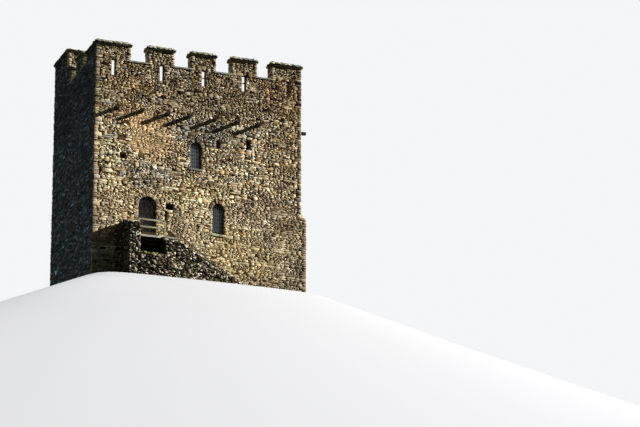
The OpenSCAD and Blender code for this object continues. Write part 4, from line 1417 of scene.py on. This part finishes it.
def bridge_boards(material, bearer_material):
    """Boards across the pit on three bearers, in place of the plain deck."""
    lo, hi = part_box("bridge_deck")
    rng = np.random.default_rng(17)
    under = hi.z - BOARD_T
    deck = bmesh.new()
    for a, b in split(rng, lo.y, hi.y, BOARD_W, 0.08):
        add_box(deck, (lo.x + rng.uniform(0, 0.02), a + BOARD_JOINT, under),
                (hi.x - rng.uniform(0, 0.02), b - BOARD_JOINT, hi.z - rng.uniform(0, 0.004)), 0.006)
    add_box(deck, (lo.x, lo.y + 0.005, lo.z + 0.03), (hi.x, lo.y + 0.05, under - OFF), 0.006)
    piece_from(deck, "deck_boards", material, "keep", ["bridge_deck"])
    bearers = bmesh.new()
    for y in (lo.y + 0.06, (lo.y + hi.y) / 2 - 0.06, hi.y - 0.13):
        add_box(bearers, (lo.x, y, lo.z), (hi.x, y + BEARER_W, under - OFF), 0.008)
    piece_from(bearers, "deck_bearers", bearer_material)


def rail_bolts(material):
    """Bolt heads where the rails meet the posts, in pairs."""
    lo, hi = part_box("bridge_railing")
    bolts = bmesh.new()
    for x in (lo.x + 0.11, hi.x - 0.055):
        for z in RAIL_ROWS:
            for apart in (-BOLT_APART, BOLT_APART):
                add_head(bolts, (x, lo.y - 0.004, LANDING_Z + z + apart), 6, 0.012, 0.012, 0.014)
    piece_from(bolts, "rail_bolts", material)


# Finishes

# Depth of the walls' outer skin
SKIN_T = 0.004


class Finish:
    """One material, built node by node from Object coordinates."""

    def __init__(self, name, roughness, metallic=0.0, specular=0.5):
        self.material = bpy.data.materials.new(name)
        self.material.use_nodes = True
        self.tree = self.material.node_tree
        self.shader = self.tree.nodes["Principled BSDF"]
        self.shader.inputs["Roughness"].default_value = roughness
        self.shader.inputs["Metallic"].default_value = metallic
        self.shader.inputs["Specular IOR Level"].default_value = specular
        self.place = self.tree.nodes.new("ShaderNodeTexCoord").outputs["Object"]

    def node(self, kind, **settings):
        made = self.tree.nodes.new(kind)
        for key, value in settings.items():
            setattr(made, key, value)
        return made

    def link(self, source, target):
        if hasattr(source, "links"):
            self.tree.links.new(source, target)
        else:
            target.default_value = source

    def stretched(self, scale, shift=(0, 0, 0)):
        made = self.node("ShaderNodeMapping")
        self.link(self.place, made.inputs["Vector"])
        made.inputs["Scale"].default_value = scale
        made.inputs["Location"].default_value = shift
        return made.outputs["Vector"]

    def noise(self, scale, detail=5, rough=0.7, stretch=(1, 1, 1), shift=(0, 0, 0)):
        made = self.node("ShaderNodeTexNoise")
        self.link(self.stretched(stretch, shift), made.inputs["Vector"])
        made.inputs["Scale"].default_value = scale
        made.inputs["Detail"].default_value = detail
        made.inputs["Roughness"].default_value = rough
        return made.outputs["Fac"]

    def cells(self, source, output, feature="F1"):
        made = self.node("ShaderNodeTexVoronoi", feature=feature)
        self.link(source, made.inputs["Vector"])
        made.inputs["Scale"].default_value = 1.0
        return made.outputs[output]

    def math(self, what, a, b=0.5):
        made = self.node("ShaderNodeMath", operation=what)
        self.link(a, made.inputs[0])
        self.link(b, made.inputs[1])
        return made.outputs[0]

    def product(self, a, b):
        return self.math("MULTIPLY", a, b)

    def range(self, value, low_in, high_in, low_out=0.0, high_out=1.0, kind="SMOOTHSTEP"):
        made = self.node("ShaderNodeMapRange", interpolation_type=kind)
        self.link(value, made.inputs["Value"])
        limits = (("From Min", low_in), ("From Max", high_in), ("To Min", low_out), ("To Max", high_out))
        for key, number in limits:
            made.inputs[key].default_value = number
        return made.outputs["Result"]

    def mix(self, a, b, share):
        made = self.node("ShaderNodeMix", data_type="RGBA")
        self.link(share, made.inputs[0])
        for value, socket in ((a, made.inputs[6]), (b, made.inputs[7])):
            self.link(value if hasattr(value, "links") else tuple(value) + (1.0,), socket)
        return made.outputs[2]

    def scaled(self, colour, value):
        """A colour made lighter or darker by a value."""
        made = self.node("ShaderNodeVectorMath", operation="SCALE")
        self.link(colour, made.inputs[0])
        self.link(value, made.inputs["Scale"])
        return made.outputs[0]

    def shaded(self, colour, value, low_in, high_in, darkest, palest):
        """A colour made lighter or darker as a value runs from one limit to the other."""
        return self.scaled(colour, self.range(value, low_in, high_in, darkest, palest))

    def spotted(self, colour, spots, value, start, finish, share):
        """A colour with spots of another one where a value is high."""
        return self.mix(colour, spots, self.product(self.range(value, start, finish), share))

    def mossy(self, colour, value, start, finish, share):
        """A colour with moss where a value is high, on what looks up."""
        growth = self.product(self.upward(), self.range(value, start, finish))
        return self.mix(colour, colours().moss, self.product(growth, share))

    def axes(self, source):
        made = self.node("ShaderNodeSeparateXYZ")
        self.link(source, made.inputs[0])
        return made.outputs

    def upward(self, start=0.3, finish=0.85):
        """How far a surface looks up."""
        normal = self.node("ShaderNodeNewGeometry").outputs["Normal"]
        return self.range(self.axes(normal)["Z"], start, finish)

    def tint(self):
        """The own colours of laid stones."""
        return self.node("ShaderNodeAttribute", attribute_name="tint").outputs["Color"]

    def done(self, colour, height, strength, distance):
        """Sets the colour and the bumps, and gives the material."""
        self.link(colour, self.shader.inputs["Base Color"])
        bump = self.node("ShaderNodeBump")
        bump.inputs["Strength"].default_value = strength
        bump.inputs["Distance"].default_value = distance
        self.link(height, bump.inputs["Height"])
        self.link(bump.outputs["Normal"], self.shader.inputs["Normal"])
        return self.material


def laid_stone(name, lichen=0.25, moss=0.0, grime=0.35):
    """Finish of laid stones: their own tint, grain, stains and growth."""
    f = Finish(name, 0.95, specular=0.03)
    grain = f.noise(9, 6)
    fine = f.noise(42, 4, 0.75)
    cloud = f.noise(1.3, 5, 0.65, shift=(4, 9, 2))
    tint = f.shaded(f.tint(), grain, 0.25, 0.75, 0.62, 1.38)
    tint = f.shaded(tint, fine, 0.3, 0.7, 0.8, 1.2)
    tint = f.shaded(tint, cloud, 0.35, 0.65, 1 - grime, 1.12)
    tint = f.spotted(tint, colours().lichen, f.noise(5.5, shift=(1, 5, 3)), 0.60, 0.68, lichen)
    tint = f.spotted(tint, (0.66, 0.63, 0.52), f.noise(13, 4, 0.6, shift=(7, 2, 6)), 0.66, 0.71, lichen * 0.9)
    if moss:
        tint = f.mossy(tint, f.noise(2.2), 0.42, 0.58, moss)
    return f.done(tint, f.math("ADD", grain, f.product(fine, 0.4)), 0.7, 0.018)


def bedded_wall():
    """Finish of the walls themselves: rubble in mortar, and only dark mortar on the outer skin."""
    c = colours()
    f = Finish("wall_core", 0.95, specular=0.03)
    # Rubble: cells in wavy courses, each with its own colour
    warp = f.node("ShaderNodeTexNoise")
    f.link(f.place, warp.inputs["Vector"])
    warp.inputs["Scale"].default_value = 1.7
    drift = f.node("ShaderNodeVectorMath", operation="ADD")
    f.link(f.stretched((2.9, 2.9, 7.5)), drift.inputs[0])
    f.link(f.scaled(warp.outputs["Color"], 0.9), drift.inputs[1])
    edge = f.cells(drift.outputs[0], "Distance", "DISTANCE_TO_EDGE")
    pick = f.node("ShaderNodeSeparateColor")
    f.link(f.cells(drift.outputs[0], "Color"), pick.inputs[0])
    grain = f.noise(11)
    stone = f.mix(c.cream, c.brown, f.range(pick.outputs["Red"], 0.2, 0.8))
    stone = f.mix(stone, c.grey, f.range(pick.outputs["Green"], 0.5, 0.9))
    stone = f.shaded(stone, pick.outputs["Blue"], 0.0, 1.0, 0.45, 1.0)
    body = f.range(edge, 0.03, 0.10)
    inside = f.mix(f.shaded(c.mortar[:], grain, 0.2, 0.8, 1.2, 2.2), stone, body)
    # Skin: the outer faces, with a golden stretch of mortar on the front
    axes = f.axes(f.place)
    skin = f.math("GREATER_THAN", f.math("ABSOLUTE", axes["X"]), HALF_W - SKIN_T)
    depth = f.math("ABSOLUTE", f.math("SUBTRACT", axes["Y"], KEEP_D / 2))
    skin = f.math("MAXIMUM", skin, f.math("GREATER_THAN", depth, KEEP_D / 2 - SKIN_T))
    away = f.node("ShaderNodeVectorMath", operation="DISTANCE")
    f.link(f.place, away.inputs[0])
    away.inputs[1].default_value = (-3.0, 0.0, 9.9)
    far = f.math("ADD", away.outputs["Value"], f.product(f.noise(0.9, 5, 0.6), 2.2))
    mortar = f.shaded(c.mortar[:], grain, 0.3, 0.7, 0.6, 1.4)
    mortar = f.mix((0.30, 0.21, 0.11), mortar, f.range(far, 1.9, 2.9))
    # Painted shade: reveals and holes are darkened by their depth into the wall, except where a surface looks
    # up; surfaces that look up are overgrown
    inset = f.math("SUBTRACT", KEEP_D / 2, depth)
    level = f.upward(0.4, 0.7)
    painted_recess_shade = f.product(f.range(inset, 0.0, 0.05), f.range(inset, 0.55, 0.62, 1.0, 0.0))
    painted_recess_shade = f.product(painted_recess_shade, f.range(level, 0.0, 1.0, 1.0, 0.0))
    inside = f.mix(inside, (0.42, 0.43, 0.27), f.product(level, 0.7))
    inside = f.shaded(inside, painted_recess_shade, 0.0, 1.0, 1.0, 0.30)
    height = f.math("ADD", f.product(body, 0.8), f.product(grain, 0.5))
    return f.done(f.mix(inside, mortar, skin), height, 0.9, 0.03)


def plain_slab(name, base, lichen, moss=0.0):
    """Finish of sills, steps, caps and spouts that lie bare."""
    f = Finish(name, 0.92, specular=0.06)
    grain = f.noise(8, 6)
    tint = f.shaded(base, grain, 0.25, 0.75, 0.55, 1.45)
    tint = f.shaded(tint, f.noise(1.7, 5, 0.6, shift=(3, 1, 8)), 0.35, 0.65, 0.7, 1.2)
    tint = f.spotted(tint, colours().lichen, f.noise(4.5, shift=(9, 5, 3)), 0.54, 0.62, lichen)
    if moss:
        tint = f.mossy(tint, f.noise(2.6), 0.38, 0.55, moss)
    return f.done(tint, grain, 0.7, 0.02)


def timber(name, base, along=(1, 12, 12), below=1.0):
    """Finish of sawn wood with its grain along one axis, and painted shade that darkens its underside by a
    factor.
    """
    f = Finish(name, 0.78, specular=0.35)
    lines = f.noise(2.4, 6, 0.65, stretch=along)
    broad = f.noise(1.1, 4, 0.6, stretch=tuple(1 + (a - 1) * 0.2 for a in along), shift=(5, 2, 1))
    tint = f.shaded(base, lines, 0.3, 0.7, 0.5, 1.35)
    tint = f.shaded(tint, broad, 0.35, 0.65, 0.78, 1.18)
    tint = f.shaded(tint, f.upward(-0.7, -0.3), 0.0, 1.0, below, 1.0)
    return f.done(tint, lines, 0.5, 0.004)


def ironwork(name):
    """Finish of black wrought iron with spots of rust."""
    f = Finish(name, 0.55, metallic=0.6)
    grain = f.noise(30)
    rust = f.range(f.noise(7, shift=(2, 2, 2)), 0.52, 0.68)
    tint = f.mix(f.shaded((0.035, 0.033, 0.032), grain, 0.3, 0.7, 0.7, 1.5), (0.13, 0.055, 0.025), rust)
    return f.done(tint, grain, 0.4, 0.002)


def lead(name):
    """Finish of the lead between the panes."""
    f = Finish(name, 0.45, metallic=0.9)
    grain = f.noise(25, 4, 0.6)
    return f.done(f.shaded((0.15, 0.18, 0.195), grain, 0.3, 0.7, 0.75, 1.2), grain, 0.3, 0.001)


def old_glass(name):
    """Finish of leaded glass with uneven panes, dark with the painted shade of the unlit room behind."""
    f = Finish(name, 0.16, specular=0.6)
    tint = f.mix((0.02, 0.024, 0.032), (0.08, 0.095, 0.12), f.range(f.noise(7, 2, 0.5), 0.35, 0.65))
    return f.done(tint, f.noise(10, 3, 0.5), 0.25, 0.01)


def slate_finish(name, laid=True):
    """Finish of roof slates, with their own tint where they are laid one by one."""
    f = Finish(name, 0.85, specular=0.1)
    grain = f.noise(16, 6, stretch=(1, 1, 3))
    tint = f.shaded(f.tint() if laid else colours().slate[:], grain, 0.25, 0.75, 0.6, 1.45)
    tint = f.spotted(tint, colours().lichen, f.noise(6), 0.6, 0.68, 0.5)
    return f.done(tint, grain, 0.5, 0.006)


def give(nodes, material):
    """Sets a material on CAD nodes."""
    for name in nodes:
        data = frame["nodes"][name].data
        if not data.materials:
            data.materials.append(material)
        for i in range(len(data.materials)):
            data.materials[i] = material


def finish_cad_nodes():
    """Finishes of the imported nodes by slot, and of the nodes whose looks differ from their slot's."""
    give(SLOT_NODES["stone"], bedded_wall())
    give(SLOT_NODES["cap_stone"], plain_slab("slab_stone", (0.27, 0.27, 0.21), 0.5))
    # The forebuilding's bare core is near black: dark rubble, and painted shade inside the pit
    give(SLOT_NODES["fore_stone"], plain_slab("fore_core", (0.03, 0.026, 0.022), 0.05, 0.6))
    give(["stair_steps"], plain_slab("worn_stone", (0.33, 0.30, 0.24), 0.2, 0.3))
    give(SLOT_NODES["slate"], slate_finish("slate_core", laid=False))
    # The spouts are near black: dark stone, and painted shade of their sides that the sun doesn't reach
    give(["spouts"], plain_slab("spout_stone", (0.045, 0.032, 0.026), 0.1))
    give(SLOT_NODES["floor_timber"], timber("floor_oak", (0.30, 0.21, 0.13), (12, 1, 12)))
    give(SLOT_NODES["grey_timber"], timber("grey_oak", (0.36, 0.36, 0.20)))
    give(["wall_handrail"], timber("dark_oak", (0.05, 0.042, 0.03)))
    give(SLOT_NODES["door_timber"], timber("door_oak", (0.25, 0.225, 0.25), (12, 12, 1)))
    give(SLOT_NODES["iron"], ironwork("wrought_iron"))
    give(SLOT_NODES["glass"], old_glass("leaded_glass"))


# Stage

# Middle and half size of the level ground, and how its rings run outwards and down from there
KNOLL_MIDDLE = Vector((0.15, 3.5, 0))
KNOLL_HALF = (7.4, 6.1)
KNOLL_RINGS = [(0.12, -0.01), (0.2, -0.04), (0.3, -0.11), (0.5, -0.23), (10, -4.7), (60, -28), (190, -88)]
# How square the level ground is: 2 would be an ellipse
KNOLL_POWER = 8
# Which way the light of the sun travels, and which way that of the soft lamp behind the keep
SUN_TRAVELS = (-3.6, 1, -1.8)
BACK_LIGHT_TRAVELS = (0.35, -1, -0.75)


def seen_rays(tree):
    """1 for what the camera, metal and glass see, and 0 for the light that falls on the keep."""
    path = tree.nodes.new("ShaderNodeLightPath")
    value = path.outputs["Is Camera Ray"]
    for other in ("Is Glossy Ray", "Is Transmission Ray"):
        made = tree.nodes.new("ShaderNodeMath")
        made.operation = "MAXIMUM"
        tree.links.new(value, made.inputs[0])
        tree.links.new(path.outputs[other], made.inputs[1])
        value = made.outputs[0]
    return value


def ground_finish():
    """Finish that is pale as seen, with painted light further off, where it glows for the camera and lifts
    the shade of the slopes, and dark for the light that falls on the keep.
    """
    f = Finish("ground", 0.95, specular=0.1)
    away = f.range(f.axes(f.place)["Z"], -0.02, -0.9, kind="LINEAR")
    seen = seen_rays(f.tree)
    pale = f.mix((0.48, 0.485, 0.49), (0.29, 0.295, 0.30), away)
    f.link(f.mix((0.07, 0.07, 0.06), pale, seen), f.shader.inputs["Base Color"])
    f.link(f.product(f.product(seen, away), 0.34), f.shader.inputs["Emission Strength"])
    f.shader.inputs["Emission Color"].default_value = (1.0, 1.0, 1.0, 1)
    return f.material


def pale_ground():
    """A level knoll that falls away on all sides, so that it hides only a little of the keep's foot."""
    mesh = bmesh.new()
    bmesh.ops.create_circle(mesh, cap_ends=True, segments=96, radius=1)
    for v in mesh.verts:
        turn = math.atan2(v.co.y, v.co.x)
        across, along = math.cos(turn), math.sin(turn)
        reach = (abs(across) ** KNOLL_POWER + abs(along) ** KNOLL_POWER) ** (-1 / KNOLL_POWER)
        v.co = Vector((across * reach * KNOLL_HALF[0], along * reach * KNOLL_HALF[1], 0)) + KNOLL_MIDDLE
    edges = [e for e in mesh.edges if e.is_boundary]
    for out, drop in KNOLL_RINGS:
        made = bmesh.ops.extrude_edge_only(mesh, edges=edges)["geom"]
        for v in [g for g in made if isinstance(g, bmesh.types.BMVert)]:
            way = v.co - KNOLL_MIDDLE
            way.z = 0
            v.co += way.normalized() * out + UP * drop
        edges = [g for g in made if isinstance(g, bmesh.types.BMEdge) and g.is_boundary]
    bmesh.ops.recalc_face_normals(mesh, faces=mesh.faces[:])
    data = bpy.data.meshes.new("ground")
    mesh.to_mesh(data)
    mesh.free()
    for polygon in data.polygons:
        polygon.use_smooth = True
    if sum(p.normal.z for p in data.polygons) < 0:
        data.flip_normals()
    data.materials.append(ground_finish())
    ground = bpy.data.objects.new("ground", data)
    bpy.context.scene.collection.objects.link(ground)


def sun_lamp(name, travels, strength, degrees, colour):
    """A sun, whose light travels one way and whose disc is some degrees wide."""
    lamp = bpy.data.lights.new(name, "SUN")
    lamp.energy = strength
    lamp.angle = math.radians(degrees)
    lamp.color = colour
    holder = bpy.data.objects.new(name, lamp)
    holder.rotation_mode = "QUATERNION"
    holder.rotation_quaternion = Vector(travels).to_track_quat("-Z", "Y")
    bpy.context.scene.collection.objects.link(holder)


def pale_world(strength, backdrop):
    """Even light, with a pale backdrop for what the camera, glass and metal see."""
    world = bpy.data.worlds.new("sky")
    bpy.context.scene.world = world
    world.use_nodes = True
    tree = world.node_tree
    tree.nodes.clear()
    out = tree.nodes.new("ShaderNodeOutputWorld")
    mix = tree.nodes.new("ShaderNodeMixShader")
    tree.links.new(seen_rays(tree), mix.inputs[0])
    for socket, colour, level in ((1, (1.0, 0.97, 0.92, 1), strength), (2, (0.97, 0.985, 1.0, 1), backdrop)):
        made = tree.nodes.new("ShaderNodeBackground")
        made.inputs["Color"].default_value = colour
        made.inputs["Strength"].default_value = level
        tree.links.new(made.outputs[0], mix.inputs[socket])
    tree.links.new(mix.outputs[0], out.inputs["Surface"])


def photo_camera():
    """The camera fitted to the photograph."""
    data = bpy.data.cameras.new("camera")
    data.sensor_width = 36
    data.lens = CAMERA_LENS
    data.clip_end = 2000
    camera = bpy.data.objects.new("camera", data)
    yaw, pitch, roll = CAMERA_YAW, CAMERA_PITCH, CAMERA_ROLL
    forward = Vector((math.sin(yaw) * math.cos(pitch), math.cos(yaw) * math.cos(pitch), math.sin(pitch)))
    right = Vector((math.cos(yaw), -math.sin(yaw), 0))
    up = right.cross(forward)
    right, up = right * math.cos(roll) + up * math.sin(roll), up * math.cos(roll) - right * math.sin(roll)
    turned = Matrix((right, up, -forward)).transposed().to_4x4()
    camera.matrix_world = Matrix.Translation(CAMERA_PLACE) @ turned
    bpy.context.scene.collection.objects.link(camera)
    bpy.context.scene.camera = camera


def set_stage():
    s = bpy.context.scene.keep_light
    photo_camera()
    pale_ground()
    sun_lamp("sun", SUN_TRAVELS, s.sun, 1.2, (1.0, 0.975, 0.98))
    sun_lamp("back_light", BACK_LIGHT_TRAVELS, s.back, 40, (0.80, 0.90, 1.0))
    pale_world(s.sky, s.backdrop)
    bpy.context.scene.view_settings.view_transform = "Standard"


# Operators
class KEEP_OT_finishes(bpy.types.Operator):
    """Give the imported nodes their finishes"""
    bl_idname = "keep.finishes"
    bl_label = "Finishes"

    def execute(self, context):
        finish_cad_nodes()
        return {"FINISHED"}


class KEEP_OT_wall_stones(bpy.types.Operator):
    """Lay the stones of the four walls, the battlements and the turret"""
    bl_idname = "keep.wall_stones"
    bl_label = "Wall Stones"

    def execute(self, context):
        stone = laid_stone("wall_stone")
        for lay in (front_wall_stones, back_wall_stones, right_wall_stones, left_wall_stones, turret_stones,
                    inner_parapet_stones, corner_stones, arch_stones):
            lay(stone)
        return {"FINISHED"}


class KEEP_OT_roofs(bpy.types.Operator):
    """Lay cap slabs, roof slates and the paving of the wall-walk"""
    bl_idname = "keep.roofs"
    bl_label = "Roofs and Caps"

    def execute(self, context):
        slab = laid_stone("cap_slab", lichen=0.6, grime=0.4)
        cap_slabs(slab)
        walk_flags(slab)
        roof_slates(slate_finish("roof_slate"))
        return {"FINISHED"}


class KEEP_OT_forebuilding(bpy.types.Operator):
    """Lay the broken rubble of the forebuilding and the bridge's boards"""
    bl_idname = "keep.forebuilding"
    bl_label = "Forebuilding"

    def execute(self, context):
        rubble = laid_stone("fore_rubble", lichen=0.15, moss=0.9, grime=0.5)
        fore_stones(rubble)
        stair_stones(rubble)
        # Painted shade: the boards' undersides are darkened almost to black, and the bearers under the deck
        # are near black
        boards = timber("deck_oak", (0.55, 0.53, 0.42), below=0.05)
        bridge_boards(boards, timber("bearer_oak", (0.02, 0.016, 0.012)))
        rail_bolts(bpy.data.materials["wrought_iron"])
        return {"FINISHED"}


class KEEP_OT_openings(bpy.types.Operator):
    """Make the leaded lights, the slit bars and the entrance door"""
    bl_idname = "keep.openings"
    bl_label = "Windows and Door"

    def execute(self, context):
        iron = bpy.data.materials["wrought_iron"]
        window_lights(lead("window_lead"), iron)
        entrance_door(bpy.data.materials["door_oak"], iron)
        return {"FINISHED"}


class KEEP_OT_stage(bpy.types.Operator):
    """Set the ground, the lamps, the backdrop and the camera"""
    bl_idname = "keep.stage"
    bl_label = "Stage"

    def execute(self, context):
        set_stage()
        return {"FINISHED"}


class KEEP_PT_panel(bpy.types.Panel):
    """Sizes, colours and steps of the keep"""
    bl_label = "Keep"
    bl_space_type = "VIEW_3D"
    bl_region_type = "UI"
    bl_category = "Keep"

    def draw(self, context):
        for group in (context.scene.keep_masonry, context.scene.keep_colours, context.scene.keep_light):
            box = self.layout.box()
            for name in group.__annotations__:
                box.prop(group, name)
        for operator in OPERATORS:
            self.layout.operator(operator.bl_idname)


OPERATORS = (KEEP_OT_finishes, KEEP_OT_wall_stones, KEEP_OT_roofs, KEEP_OT_forebuilding, KEEP_OT_openings,
             KEEP_OT_stage)
CLASSES = (MasonrySettings, ColourSettings, LightSettings) + OPERATORS + (KEEP_PT_panel,)


def register():
    for cls in CLASSES:
        bpy.utils.register_class(cls)
    bpy.types.Scene.keep_masonry = PointerProperty(type=MasonrySettings)
    bpy.types.Scene.keep_colours = PointerProperty(type=ColourSettings)
    bpy.types.Scene.keep_light = PointerProperty(type=LightSettings)


def unregister():
    del bpy.types.Scene.keep_masonry
    del bpy.types.Scene.keep_colours
    del bpy.types.Scene.keep_light
    for cls in reversed(CLASSES):
        bpy.utils.unregister_class(cls)


def main():
    register()
    bpy.ops.keep.finishes()
    bpy.ops.keep.wall_stones()
    bpy.ops.keep.roofs()
    bpy.ops.keep.forebuilding()
    bpy.ops.keep.openings()
    bpy.ops.keep.stage()


if __name__ == "__main__":
    main()
